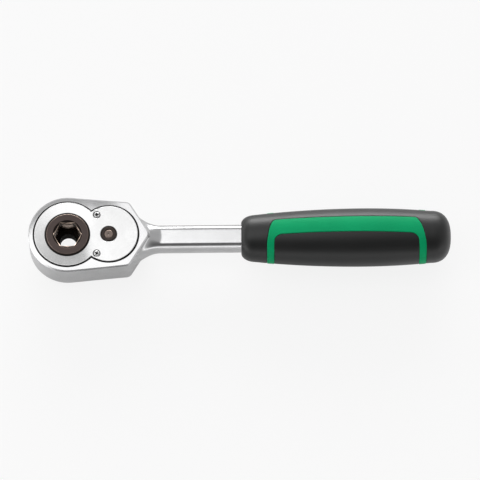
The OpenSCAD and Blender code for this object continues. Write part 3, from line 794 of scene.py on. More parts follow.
# Finishes by name; a colour is the name of one of the colours above
METALS = {
    "satin_chrome": dict(base="chrome", roughness=0.2, grain_depth=0.003, wave=0.12),
    "satin_plate": dict(
        base="plate", roughness=0.2, grain=(0.08, 1, 1), grain_size=0.16, grain_depth=0.003, wave=0.08
    ),
    "bright_screw": dict(base="screw", roughness=0.2, grain_size=0.2, grain_depth=0.003, worn="bright"),
    "browned_steel": dict(base="blackened", roughness=0.38, grain_size=0.22, grain_depth=0.006, worn="worn"),
    "browned_bush": dict(base="bush", roughness=0.36, grain_size=0.22, grain_depth=0.006, worn="blackened"),
    "ground_steel": dict(base="hardened", roughness=0.34, grain=(1, 1, 0.1), grain_size=0.2, worn="worn"),
    "drawn_wire": dict(base="spring", roughness=0.25, grain_size=0.1, grain_depth=0.002),
    "rolled_bronze": dict(
        base="bronze", roughness=0.32, grain=(0.1, 1, 1), grain_size=0.18, grain_depth=0.003
    ),
}
PLASTICS = {
    "seal_rubber": dict(base="rubber", roughness=0.6, grain_size=0.2, grain_depth=0.008, specular=0.4),
    "core_plastic": dict(base="core", roughness=0.5, grain_size=0.5, grain_depth=0.01, specular=0.5),
    "green_plastic": dict(base="green", roughness=0.5, grain_size=0.35, grain_depth=0.006, specular=0.1),
    "soft_skin": dict(base="skin", roughness=0.43, grain_size=0.3, grain_depth=0.012, specular=0.55),
}


def finish_of(name):
    """A finish, built the first time that a piece takes it."""
    found = bpy.data.materials.get(name + "_finish")
    if found:
        return found
    build, table = (satin_metal, METALS) if name in METALS else (moulded_plastic, PLASTICS)
    colours = vars(sizes("ratchet_finish"))
    values = table[name].items()
    return build(name, **{key: colours[value] if isinstance(value, str) else value for key, value in values})


class Pattern(Nodes):
    """A Geometry Nodes tree that is put on an object once and then taken up in its mesh."""

    def __init__(self, name, inputs):
        tree = bpy.data.node_groups.new(name, "GeometryNodeTree")
        super().__init__(tree)
        tree.interface.new_socket("Geometry", in_out="OUTPUT", socket_type="NodeSocketGeometry")
        tree.interface.new_socket("Geometry", in_out="INPUT", socket_type="NodeSocketGeometry")
        self.values = {}
        for key, (kind, value) in inputs.items():
            socket = tree.interface.new_socket(key, in_out="INPUT", socket_type="NodeSocket" + kind)
            self.values[socket.identifier] = value
        self.group = tree.nodes.new("NodeGroupInput")

    def given(self, key):
        """One of the tree's named inputs."""
        return Link(self, self.find(self.group.outputs, key))

    def end(self, geometry_link, material):
        """Realizes the instances and gives them their finish."""
        real = self.add("GeometryNodeRealizeInstances", None, {"Geometry": geometry_link})
        dressed = self.add("GeometryNodeSetMaterial", None, {"Geometry": real, "Material": material})
        self.add("NodeGroupOutput", None, {"Geometry": dressed})

    def line_up(self, material, values, spin=0.0):
        """Ends the tree with copies of the object on an even line of points, turned about Z by a spin."""
        points = self.add("GeometryNodeMeshLine", {"mode": "OFFSET"}, values)
        copies = self.add("GeometryNodeInstanceOnPoints", None, {
            "Points": points, "Instance": self.given("Geometry"), "Rotation": self.vector(Z=spin),
        })
        self.end(copies, material)

    def apply(self, made):
        """Runs the tree on an object and leaves a plain mesh."""
        step = made.modifiers.new(self.tree.name, "NODES")
        step.node_group = self.tree
        for identifier, value in self.values.items():
            step[identifier] = value
        return plain_mesh(made)


def settle(made, finish, body, slot, *nodes, sharp=30):
    """Gives a piece its finish and its body (unless it is blended) and hides the nodes it stands for; the slot
    is not used.
    """
    made.data.materials.clear()
    made.data.materials.append(finish_of(finish))
    made.data.shade_smooth()
    made.data.set_sharp_from_angle(angle=math.radians(sharp))
    if body:
        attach(made, body)
    if nodes:
        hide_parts(*nodes)
    return made


# Forged head


class Forging:
    """Distances to the outside of the forging in millimetres; w is the height over the tool's axis."""

    # Up to where the walls stand upright, from where the crown has its width beside the notch,
    # the height from which the neck's fillet tightens, and the length of its close sections
    square_x, notch_x, neck_w, neck_run = 22.0, 9, 3, 6.2

    def __init__(self, s):
        self.s = s
        self.half_t = s.thickness / 2
        discs = [(0, 0, s.head_r), (s.shoulder_x, s.shoulder_y, s.shoulder_r), (s.nose_x, 0, s.nose_r)]
        normals = []
        for (xa, ya, ra), (xb, yb, rb) in zip(discs, discs[1:]):
            span = math.hypot(xb - xa, yb - ya)
            normals.append(math.atan2(yb - ya, xb - xa) + math.acos((ra - rb) / span))
        self.edges = [(n, x * math.cos(n) + y * math.sin(n) + r) for n, (x, y, r) in zip(normals, discs)]
        limits = [math.pi, *normals, 0]
        self.arcs = [(*disc, limits[i + 1], limits[i]) for i, disc in enumerate(discs)]
        self.slope = normals[-1]

    def outline(self, x, y):
        """Distance to the outline of the head in plan, negative inside."""
        x, y = np.broadcast_arrays(np.asarray(x, float), np.abs(y))
        best = np.full(x.shape, -1e9)
        for normal, reach in self.edges:
            best = np.maximum(best, x * math.cos(normal) + y * math.sin(normal) - reach)
        for cx, cy, r, low, high in self.arcs:
            turn = np.arctan2(y - cy, x - cx)
            past = np.maximum(best, np.hypot(x - cx, y - cy) - r)
            best = np.where((turn >= low) & (turn <= high), past, best)
        return best

    def bar(self, y, w, wide, thick):
        """Distance to a round bar with two flats and rounded edges."""
        e = self.s.shank_edge_r
        a, b = np.hypot(y, w) - wide / 2 + e, np.abs(w) - thick / 2 + e
        return np.minimum(np.maximum(a, b), 0) + np.hypot(np.maximum(a, 0), np.maximum(b, 0)) - e

    def body(self, x, y, w):
        """Distance to the head and the shank, joined by the fillet of the neck."""
        s = self.s
        rise = smoothstep(self.neck_w, self.half_t, np.abs(w))
        fillet = s.neck_side_r + (s.neck_top_r - s.neck_side_r) * rise
        a, b = self.outline(x, y), self.bar(y, w, s.shank_d, s.shank_t)
        joined = np.maximum(fillet, np.minimum(a, b))
        joined = joined - np.hypot(np.maximum(fillet - a, 0), np.maximum(fillet - b, 0))
        return np.maximum(joined, np.abs(w) - (self.half_t - s.chamfer))

    def farthest(self, within, like):
        """The largest distances at which a test still holds, found by halving."""
        low, high = np.zeros_like(like), np.full_like(like, 2 * self.s.head_r)
        for _ in range(50):
            middle = (low + high) / 2
            held = within(middle)
            low, high = np.where(held, middle, low), np.where(held, high, middle)
        return (low + high) / 2

    def half_width(self, x, inset=0.0):
        """Half the width of the head at a distance along the tool, or 0 past its ends."""
        half = self.farthest(lambda y: self.outline(x, y) < -inset, x)
        return np.where(self.outline(x, np.zeros_like(x)) < -inset - 1e-9, half, 0)

    def reach(self, distance, turn):
        """How far a ray from the tool's axis goes before it leaves a solid."""
        return self.farthest(lambda r: distance(r * np.cos(turn), r * np.sin(turn)) < 0, turn)

    def stations(self):
        """Distances along the tool, close together where the outline turns."""
        s = self.s
        quarter = np.linspace(0, math.pi / 2, 61)
        nose = np.linspace(self.slope, 0, 16)
        tip = s.nose_x + s.nose_r
        run = self.neck_run * (1 - np.cos(np.linspace(0, math.pi / 2, 26)))
        found = np.concatenate([
            -s.head_r * np.cos(quarter), -(s.head_r - s.chamfer) * np.cos(quarter),
            np.arange(1.5, self.square_x, 1.5),
            np.arange(self.square_x, s.nose_x + s.nose_r * math.cos(self.slope), 0.4),
            s.nose_x + s.nose_r * np.cos(nose), s.nose_x + (s.nose_r - s.chamfer) * np.cos(nose),
            tip + run, np.arange(tip + 7.5, s.shank_end, 4), [s.shank_end],
        ])
        found = np.unique(found.round(5))
        return found[np.concatenate([[True], np.diff(found) > 0.004])]

    def fall(self, x):
        """How far the polished face falls towards its edge, which it does round the round end."""
        return self.s.crown * (1 - smoothstep(self.s.crown_start, self.s.crown_end, x))

    def span(self, x):
        """How far from the edge the polished face starts to fall."""
        wider = smoothstep(0, self.notch_x, x)
        return self.s.crown_span + (self.s.notch_span - self.s.crown_span) * wider

    def face(self, x, y):
        """Height of the polished face."""
        s = self.s
        span = self.span(x)
        depth = np.clip(-self.outline(x, y) - s.chamfer, 0, span)
        return self.half_t - self.fall(x) * (1 - depth / span) ** 2

    def bevel(self, x, y):
        """Height of the chamfer between the face and the wall."""
        s = self.s
        share = np.clip(self.outline(x, y) / s.chamfer + 1, 0, 1)
        return self.half_t - self.fall(x) - s.chamfer * share

    def shank_turns(self, rows, on_flat=10, on_edge=7):
        """Angles of the rows round a quarter of the shank, close together on its rounded edge."""
        s, e = self.s, self.s.shank_edge_r
        up = s.shank_t / 2 - e
        out = math.sqrt((s.shank_d / 2 - e) ** 2 - up ** 2)
        start, end, held = math.atan2(s.shank_t / 2, out), math.atan2(up, out), math.radians(0.4)
        return np.concatenate([
            np.linspace(math.pi / 2, start + held, on_flat), np.linspace(start, end, on_edge),
            np.linspace(end - held, 0, rows + 1 - on_flat - on_edge),
        ])

    def quarters(self, x, chamfer_rows=3, wall_rows=30, shank_run=4):
        """For each station the points (y, w) from the middle of the top round to the side."""
        s, h, c = self.s, self.half_t, self.s.chamfer
        half, flat = self.half_width(x), self.half_width(x, c)
        nothing = np.zeros_like(x)
        past = half <= 0
        crown = self.reach(lambda y, w: self.body(x, y, w), nothing + math.pi / 2)
        near = np.minimum(self.span(x), flat / 1.1)
        ys = [(flat - near) * k / 4 for k in range(4)]
        ys += [flat - near * k for k in (1, 0.72, 0.48, 0.28, 0.12, 0)]
        ws = [np.where(past, crown, np.where(flat > 0, self.face(x, y), self.bevel(x, y))) for y in ys]
        for k in range(1, chamfer_rows + 1):
            y = flat + (half - flat) * k / chamfer_rows
            ys.append(y)
            ws.append(np.where(past, crown, self.bevel(x, y)))
        last = len(ws) - 1
        corner = np.where(past, math.pi / 2, np.arctan2(h - c, half))
        side = self.half_width(np.array([self.square_x]))[0]
        square = np.arctan2(h - c, side)
        tip, shank = s.nose_x + s.nose_r, self.shank_turns(wall_rows)
        on_shank = smoothstep(tip, tip + shank_run, x)
        upright = x < self.square_x
        for k in range(1, wall_rows + 1):
            left = 1 - k / wall_rows
            turn = corner * left
            turn = turn + (shank[k] - turn) * on_shank
            r = self.reach(lambda y, w: self.body(x, y, w), turn)
            level = np.minimum(side * math.tan(square * left), ws[last] * left)
            ys.append(np.where(upright, half, r * np.cos(turn)))
            ws.append(np.where(upright, level, r * np.sin(turn)))
        return np.array(ys).T, np.array(ws).T

    def rings(self):
        """Closed sections (x, y, z) along the whole forging."""
        s = self.s
        x = self.stations()
        ys, ws = self.quarters(x)
        turn = np.linspace(math.pi / 2, 0, ys.shape[1])
        r = self.reach(lambda y, w: self.bar(y, w, s.tang_d, s.tang_t), turn)
        for station in (s.shank_end, s.shank_end + s.tang_len):
            x = np.append(x, station)
            ys, ws = np.vstack([ys, r * np.cos(turn)]), np.vstack([ws, r * np.sin(turn)])
        y = np.hstack([ys, ys[:, -2::-1], -ys[:, 1:], -ys[:, -2:0:-1]])
        w = np.hstack([ws, -ws[:, -2::-1], -ws[:, 1:], ws[:, -2:0:-1]])
        return np.stack([np.broadcast_to(x[:, None], y.shape), y, w + self.half_t], 2)


class RATCHET_OT_forging(bpy.types.Operator):
    """Forged head, neck, shank and tang with their pockets"""

    bl_idname = "ratchet.forging"
    bl_label = "Forging"

    def execute(self, context):
        s, cover = sizes("ratchet_head"), sizes("ratchet_cover")
        rings = Forging(s).rings()
        rows, columns = rings.shape[:2]
        faces = ring_faces(rows, columns)
        faces.append(tuple(range((rows - 1) * columns, rows * columns)))
        made = piece("head_forging", rings.reshape(-1, 3), faces)
        top, past, lip = s.thickness, 0.25, 0.2
        seat = top - cover.thickness
        cutters = []
        for key, centre, lobe, pocket, bore in (
            ("wheel_room", 0, cover.wheel_lobe_r, s.wheel_pocket_r, s.drive_bore_r),
            ("pawl_room", s.pivot_x, cover.pawl_lobe_r, s.pawl_pocket_r, s.selector_bore_r),
        ):
            edge = lobe + cover.gap
            cutters.append(lathe(key, [
                (0, top + past), (edge + lip + past, top + past), (edge, top - lip), (edge, seat),
                (pocket, seat), (pocket, s.floor_t), (bore, s.floor_t), (bore, lip),
                (bore + lip + past, -past), (0, -past),
            ], (centre, 0)))
        hole_r, low = cover.screw_d / 2 + FIT, top - cover.screw_head_t - cover.screw_len
        for side in (-1, 1):
            cutters.append(lathe(f"screw_hole_{side + 1}", [
                (0, seat + past), (hole_r, seat + past), (hole_r, low), (0, low),
            ], (cover.screw_x, side * cover.screw_y), HOLE_STEPS))
        join_up(made, *cutters)
        x, y, z = spots_of(made).T
        wall = np.minimum(np.abs(np.hypot(x, y) - cover.wheel_lobe_r - cover.gap),
                          np.abs(np.hypot(x - s.pivot_x, y) - cover.pawl_lobe_r - cover.gap))
        # painted shade: the walls of the plate's rebate are darkened as grease and shade in the gap
        mark(made, "grime", (wall < NEAR) & (z > seat - NEAR) & (z < top - lip + NEAR))
        settle(made, "satin_chrome", "head", "chromed_forging", "head_body", sharp=26)
        return {"FINISHED"}


# Plate, screws and bush


def figure_of_eight(r_a, r_b, span, inset):
    """Outline round two discs that overlap, drawn in by an inset."""
    a, b = r_a - inset, r_b - inset
    x = (a * a - b * b + span * span) / (2 * span)
    y = math.sqrt(a * a - x * x)
    turn_a, turn_b = math.atan2(y, x), math.atan2(y, x - span)
    points = [(a * math.cos(t), a * math.sin(t)) for t in np.linspace(turn_a, 2 * math.pi - turn_a, 161)]
    points += [(span + b * math.cos(t), b * math.sin(t)) for t in np.linspace(-turn_b, turn_b, 145)[1:-1]]
    return points


def round_hole(x, y, radius, count):
    """A hole as a loop that grows by its inset."""
    turn = full_turn(count)

    def loop(inset):
        """Points of the hole's edge, grown by an inset."""
        r = radius + inset
        return [(x + r * math.cos(t), y + r * math.sin(t)) for t in turn]

    return loop


class RATCHET_OT_plate(bpy.types.Operator):
    """Figure-of-eight plate that closes the works"""

    bl_idname = "ratchet.plate"
    bl_label = "Plate"

    def execute(self, context):
        head, s = sizes("ratchet_head"), sizes("ratchet_cover")
        slope_start, slope_end = 6, 12.5
        loops = [
            lambda inset: [(x, y + s.shift) for x, y in figure_of_eight(
                s.wheel_lobe_r - s.trim, s.pawl_lobe_r - s.trim, head.pivot_x, inset)],
            round_hole(0, 0, s.hub_hole_r, HUB_STEPS),
            round_hole(head.pivot_x, 0, s.bush_d / 2 + FIT, SHAFT_STEPS),
        ]
        seat_r = s.screw_head_d / 2 + FIT
        loops += [round_hole(s.screw_x, side * s.screw_y, seat_r, BORE_STEPS) for side in (-1, 1)]
        top, slope = head.thickness, math.tan(s.dish)

        def sink(x, y):
            """How far the plate lies under its rim: the wheel lobe slopes down to the hub."""
            depth = slope * np.clip(s.wheel_lobe_r - np.hypot(x, y), 0, None)
            return depth * (1 - smoothstep(slope_start, slope_end, x))

        made = plate("cover_plate_satin", loops, top - s.thickness, top, s.edge_r, sink)
        x, y, z = spots_of(made).T
        on_hub_wall = np.abs(np.hypot(x, y) - s.hub_hole_r) < 2 * NEAR
        on_wall = on_hub_wall | ~clear_of(np.stack([x, y], 1), [loop(0) for loop in loops], 2 * NEAR)
        # painted shade: the walls of the plate's edge and holes are darkened as grease and shade in the gaps
        mark(made, "grime", on_wall & (z < top - s.edge_r - sink(x, y) + NEAR))
        settle(made, "satin_plate", "head", "satin_plate", "cover_plate", sharp=40)
        return {"FINISHED"}


def cross_screw(name, corners, recess_low, recess_high, long, wide):
    """A turned screw about Z with a tapered cross recess in its upper end."""
    made = lathe(name, corners, steps=SCREW_STEPS)
    return join_up(made, prism("recess", cross_outline(long, wide), recess_low, recess_high, 0.5))


class RATCHET_OT_cover_screws(bpy.types.Operator):
    """Two small pan-head screws of the plate"""

    bl_idname = "ratchet.cover_screws"
    bl_label = "Plate screws"

    def execute(self, context):
        s, top = sizes("ratchet_cover"), sizes("ratchet_head").thickness
        gap, face = 0.12, top + 0.04
        head_r, r, under = s.screw_head_d / 2 - gap, s.screw_d / 2, top - s.screw_head_t
        made = cross_screw("cover_screws_cross", [
            (0, under - s.screw_len), (r, under - s.screw_len, 0.2), (r, under), (head_r, under, 0.05),
            (head_r, top - 0.12, 0.1), (head_r - 0.25, face, 0.2), (0, face),
        ], face - 0.6, face + 0.1, s.screw_head_d * 0.66, s.screw_head_d * 0.2)
        x, y, z = spots_of(made).T
        # painted shade: the cross recess is darkened as grease and shade
        mark(made, "grime", (np.hypot(x, y) < head_r * 0.8) & (z < top - 0.1) & (z > under + NEAR))
        p = Pattern("screws of the plate", {
            "Along": ("Float", s.screw_x * MM), "Across": ("Float", s.screw_y * MM), "Seed": ("Int", 4),
        })
        across = p.given("Across")
        turn = p.add("FunctionNodeRandomValue", {"data_type": "FLOAT"},
                     {"Min_001": 0.0, "Max_001": 1.5, "Seed": p.given("Seed")}, "Value_001")
        p.line_up(finish_of("bright_screw"), {
            "Count": 2, "Start Location": p.vector(X=p.given("Along"), Y=across * -1),
            "Offset": p.vector(Y=across * 2),
        }, turn)
        settle(p.apply(made), "bright_screw", "head", "bright_screw", "cover_screws")
        return {"FINISHED"}


class RATCHET_OT_bush(bpy.types.Operator):
    """Browned bush that carries the selector's front end"""

    bl_idname = "ratchet.bush"
    bl_label = "Bush"

    def execute(self, context):
        head, s = sizes("ratchet_head"), sizes("ratchet_cover")
        r, bore, top = s.bush_d / 2, s.bush_bore_r, head.thickness
        low = top - s.thickness
        made = lathe("selector_bush", [
            (bore, low, 0.1), (r, low, 0.1), (r, top - 0.35, 0.12), (r - 0.4, top, 0.15), (bore, top, 0.18),
        ], (head.pivot_x, 0), SHAFT_STEPS)
        settle(made, "browned_bush", "head", "blackened_steel", "shaft_bush")
        return {"FINISHED"}


# Drive wheel


class RATCHET_OT_wheel(bpy.types.Operator):
    """Browned wheel with its teeth, hub and hexagon socket"""

    bl_idname = "ratchet.wheel"
    bl_label = "Drive wheel"

    def execute(self, context):
        s = sizes("ratchet_drive")
        root, top, lip, land = s.wheel_r - s.tooth_h, s.hub_top, 0.2, 0.24
        seal_low, seal_high = 14.45, 15.55
        face_rings, mouth_rim = (8.1, 7.4, 6.85), 7
        groove_low, groove_high = s.ring_z - s.ring_groove_h / 2, s.ring_z + s.ring_groove_h / 2
        rows, grime = [], []
        for r, z, worn in soften([
            (s.push_r + lip, 0), (s.journal_r, 0, 0.3), (s.journal_r, s.low), (root, s.low, 0.15),
            (root, s.high, 0.15), (s.hub_r, s.high), (s.hub_r, seal_low), (s.seal_floor_r, seal_low),
            (s.seal_floor_r, seal_high), (s.hub_r, seal_high), (s.hub_r, top - s.hub_chamfer, 0.12),
            (s.hub_r - s.hub_chamfer, top, 0.12), *((r, top) for r in face_rings), (s.mouth_r, top, 0.25),
            (s.mouth_r - 0.15, top - 0.15),
        ]):
            at_rim = r < mouth_rim and z > top - lip
            # painted shade: the hub's outer chamfer next to the plate and the countersunk mouth are darkened as
            # grease and shade
            on_chamfer = r > s.hub_r - 0.75 * s.hub_chamfer and z >= seal_high
            in_mouth = r < s.mouth_r - 0.1 and z > s.socket_floor
            rows.append((r, z, worn * (0.1 if at_rim else 1)))
            grime.append(0.9 if on_chamfer else 0.7 if in_mouth else 0)
        turn = full_turn(TURN_STEPS)
        flat = s.across_flats / 2 / np.cos(turn % (math.pi / 3) - math.pi / 6)
        edge = top - s.mouth_r + flat
        # painted shade: the last number of each row darkens the socket's edge, its floor and the push-out bore
        # as grease and shade
        socket = [(flat + past, edge + land - drop, worn, grease_shade) for past, drop, worn, grease_shade in (
            (0.26, -0.02, 0, 0.6), (land, 0, 0.5, 0.2), (0.21, 0.006, 1, 0), (0.07, 0.026, 1, 0),
            (0.02, 0.05, 1, 0), (0, 0.1, 1, 0),
        )]
        socket += [
            (flat, groove_high, 1, 0), (s.ring_groove_r, groove_high, 0, 0),
            (s.ring_groove_r, groove_low, 0, 0), (flat, groove_low, 1, 0),
            (flat, s.socket_floor + 1.5, 1, 0), (flat, s.socket_floor, 0, 0.6),
            (s.push_r, s.socket_floor, 0, 0.9), (s.push_r, lip, 0, 0.9),
        ]
        for r, z, worn, grease_shade in socket:
            rows.append((r, z, worn))
            grime.append(grease_shade)
        made = turned("drive_wheel_browned", rows)
        mark(made, "grime", np.repeat(grime, TURN_STEPS))
        # Half the width of a tooth at its tip and its base, as a share of the pitch
        pitch, tip, base = 2 * math.pi / s.teeth, 0.04, 0.46
        half = [(root - 0.3, base), (root, base), (s.wheel_r, tip)]
        outline = [(r, -a * pitch) for r, a in half] + [(r, a * pitch) for r, a in reversed(half)]
        outline = [(r * math.cos(a), r * math.sin(a)) for r, a in outline]
        tooth = prism("drive_teeth", outline, s.low + lip, s.high - lip)
        p = Pattern("teeth of the wheel", {"Teeth": ("Int", s.teeth)})
        count = p.given("Teeth")
        spin = p.add("GeometryNodeInputIndex") * (2 * math.pi) * count.math("DIVIDE", 1.0, count)
        p.line_up(finish_of("browned_steel"), {"Count": count, "Offset": (0, 0, 0)}, spin)
        join_up(made, p.apply(tooth), operation="UNION")
        settle(made, "browned_steel", "drive_wheel", "blackened_steel", "ratchet_wheel", sharp=24)
        return {"FINISHED"}


# Selector, lever and spring


class RATCHET_OT_selector(bpy.types.Operator):
    """Selector shaft with its square and the plunger's bore"""

    bl_idname = "ratchet.selector"
    bl_label = "Selector shaft"

    def execute(self, context):
        head, s = sizes("ratchet_head"), sizes("ratchet_selector")
        x, top, count = head.pivot_x, head.thickness, BORE_STEPS
        stub_r, stub_end, dimple_r, dimple_deep = s.tenon_w * 0.4, -0.4, 0.62, 0.3
        made = lathe("selector_shaft_ground", [
            (0, stub_end), (stub_r, stub_end), (stub_r, 0), (s.rear_r, 0, 0.1), (s.rear_r, s.works_low),
            (s.shaft_r, s.works_low, 0.15), (s.shaft_r, s.works_high, 0.15), (s.front_r, s.works_high),
            (s.front_r, top, 0.22), (dimple_r, top, 0.08), (0, top - dimple_deep),
        ], (x, 0), SHAFT_STEPS)
        square = prism("square", square_outline(s.tenon_w), s.tenon_end, 0.5, centre=(x, 0))
        join_up(made, square, operation="UNION")
        thread_r, low, high = s.screw_r + FIT, s.tenon_end - 1, s.screw_end + 0.1
        thread = lathe("thread", [(0, low), (thread_r, low), (thread_r, high), (0, high)], (x, 0), count)
        bore_r, deep = s.plunger_r + FIT, s.shaft_r - s.plunger_depth
        points = [(x + along, bore_r * math.cos(t), s.plunger_z + bore_r * math.sin(t))
                  for along in (deep, s.shaft_r + 1) for t in full_turn(count)]
        faces = ring_faces(2, count) + [tuple(range(count)), tuple(range(count, 2 * count))]
        join_up(made, thread, piece("plunger_bore", points, faces))
        settle(made, "ground_steel", "selector", "hardened_steel", "selector_shaft")
        return {"FINISHED"}


def lever_loop(s, inset, side_points=14):
    """Half the lever's outline, from its tip round to the back of its hub, drawn in by an inset."""
    big, small = s.lever_hub_r - inset, s.thumb_r - inset
    lean = math.acos((big - small) / s.lever_len)
    tip = [(s.lever_len + small * math.cos(t), small * math.sin(t)) for t in np.linspace(0, lean, 22)]
    hub = [(big * math.cos(t), big * math.sin(t)) for t in np.linspace(lean, math.pi, 26)]
    a, b = np.array(tip[-1]), np.array(hub[0])
    side = [tuple(a + (b - a) * k / (side_points + 1)) for k in range(1, side_points + 1)]
    return np.array(tip + side + hub)


class RATCHET_OT_lever(bpy.types.Operator):
    """Thumb lever on the back face with its ribbed pad"""

    bl_idname = "ratchet.lever"
    bl_label = "Lever"

    def execute(self, context):
        head, s = sizes("ratchet_head"), sizes("ratchet_selector")
        back_r, edge_steps, pad_start, pad_end = 0.25, 6, 5.2, 10.6
        rows = [(inset, "top", 0, 0) for inset in (2.8, 1.6)]
        rows += [(inset, "top", -depth, worn) for inset, depth, worn in rounded_edge(back_r, edge_steps)]
        outer = reversed(rounded_edge(s.lever_edge_r, edge_steps))
        rows += [(inset, "low", depth, worn) for inset, depth, worn in outer]
        rows += [(inset, "low", 0, 0) for inset in (1.3, 1.8, 2.3, 2.8)]
        points, wear = [], []
        for inset, face, offset, worn in rows:
            half = lever_loop(s, inset)
            loop = np.vstack([half, half[-2:0:-1] * (1, -1)])
            low = s.lever_low + (s.pad_low - s.lever_low) * smoothstep(pad_start, pad_end, loop[:, 0])
            z = np.broadcast_to((s.lever_top if face == "top" else low) + offset, len(loop))
            points += [(head.pivot_x + x, y, level) for (x, y), level in zip(loop, z)]
            wear += [worn] * len(loop)
        half_count, count = len(half), len(loop)
        faces = ring_faces(len(rows), count)
        for first in (0, (len(rows) - 1) * count):
            faces += [(first + i, first + i + 1, first + (count - i - 1) % count, first + (count - i) % count)
                      for i in range(half_count - 1)]
        made = piece("reversing_lever_browned", points, faces, wear)
        rib_r, spacing, rib_half, rib_back, rib_steps = 0.55, 1.25, 2.0, 1.6, 16
        ends = np.linspace(-math.pi / 2, math.pi / 2, 9)
        bar = [(rib_r * math.cos(a) * math.cos(t), y + rib_r * math.sin(a), rib_r * math.cos(a) * math.sin(t))
               for a, y in zip(ends, [-rib_half] * 4 + [0] + [rib_half] * 4) for t in full_turn(rib_steps)]
        rib = piece("thumb_ribs", bar, ring_faces(len(ends), rib_steps))
        p = Pattern("ribs of the thumb pad", {
            "Ribs": ("Int", s.ribs), "Spacing": ("Float", spacing * MM),
            "Start": ("Vector", ((head.pivot_x + s.lever_len - rib_back) * MM, 0, (s.rib_low + rib_r) * MM)),
        })
        p.line_up(finish_of("browned_steel"), {
            "Count": p.given("Ribs"), "Start Location": p.given("Start"),
            "Offset": p.vector(X=p.given("Spacing")),
        })
        join_up(made, p.apply(rib), operation="UNION")
        axis, low, seat_r, hole_r = (head.pivot_x, 0), s.lever_low, s.screw_head_r + FIT, s.screw_r + FIT
        hole = lathe("screw_seat", [
            (0, low - 1), (seat_r + 1, low - 1), (seat_r, low), (hole_r, low + seat_r - hole_r),
            (hole_r, 0.5), (0, 0.5),
        ], axis, SHAFT_STEPS)
        square = square_outline(s.tenon_w + 2 * FIT)
        join_up(made, hole, prism("square_hole", square, s.tenon_end - 0.06, 0.7, centre=axis))
        settle(made, "browned_steel", "selector", "blackened_steel", "reversing_lever")
        return {"FINISHED"}


class RATCHET_OT_lever_screw(bpy.types.Operator):
    """Countersunk screw of the lever"""

    bl_idname = "ratchet.lever_screw"
    bl_label = "Lever screw"

    def execute(self, context):
        head, s = sizes("ratchet_head"), sizes("ratchet_selector")
        axis, low = (head.pivot_x, 0), s.lever_low
        made = lathe("lever_screw_cross", [
            (0, low), (s.screw_head_r, low, 0.1), (s.screw_r, low + s.screw_head_r - s.screw_r),
            (s.screw_r, s.screw_end, 0.2), (0, s.screw_end),
        ], axis, SCREW_STEPS)
        outline = cross_outline(s.screw_head_r * 0.65, s.screw_head_r * 0.21)
        join_up(made, prism("recess", outline, low - 0.2, low + 0.55, 2.0, axis))
        settle(made, "bright_screw", "selector", "bright_screw", "lever_screw")
        return {"FINISHED"}


class RATCHET_OT_spring(bpy.types.Operator):
    """Coil spring behind the plunger"""

    bl_idname = "ratchet.spring"
    bl_label = "Plunger spring"

    def execute(self, context):
        head, s = sizes("ratchet_head"), sizes("ratchet_selector")
        made = put("plunger_spring_wire", bpy.data.meshes.new("plunger_spring_wire"))
        p = Pattern("spring of the plunger", {
            "Turns": ("Float", s.spring_turns),
            "Radius": ("Float", (s.plunger_r - FIT - s.spring_wire / 2) * MM),
            "Wire": ("Float", s.spring_wire / 2 * MM),
            "Long": ("Float", (s.spring_end - s.spring_start) * MM),
            "Start": ("Vector", ((head.pivot_x + s.spring_start) * MM, 0, s.plunger_z * MM)),
        })
        coil = p.add("GeometryNodeCurveSpiral", None, {
            "Resolution": 24, "Rotations": p.given("Turns"), "Start Radius": p.given("Radius"),
            "End Radius": p.given("Radius"), "Height": p.given("Long"),
        })
        wire = p.add("GeometryNodeCurvePrimitiveCircle", {"mode": "RADIUS"},
                     {"Resolution": 10, "Radius": p.given("Wire")})
        tube = p.add("GeometryNodeCurveToMesh", None,
                     {"Curve": coil, "Profile Curve": wire, "Fill Caps": True})
        placed = p.add("GeometryNodeTransform", None, {
            "Geometry": tube, "Translation": p.given("Start"), "Rotation": (0, math.pi / 2, 0),
        })
        p.end(placed, finish_of("drawn_wire"))
        settle(p.apply(made), "drawn_wire", None, "spring_steel", "plunger_spring")
        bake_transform(made)
        return {"FINISHED"}


class RATCHET_OT_works(bpy.types.Operator):
    """Finishes of the works and the core, whose solids are shown as they are"""

    bl_idname = "ratchet.works"
    bl_label = "Works and core"

    def execute(self, context):
        for node, finish in (
            ("thrust_washer", "rolled_bronze"), ("lever_seal", "seal_rubber"), ("hub_seal", "seal_rubber"),
            ("bit_retaining_ring", "drawn_wire"), ("pawl", "ground_steel"),
            ("selector_plunger", "ground_steel"), ("handle_core", "core_plastic"),
        ):
            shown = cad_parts[node]
            shown.data.materials.clear()
            shown.data.materials.append(finish_of(finish))
        return {"FINISHED"}


# Handle

# Spacing of the points on the unrolled handle, and how far they stay from its edges
SKIN_GRID = 0.7
GRID_GAP = 0.4


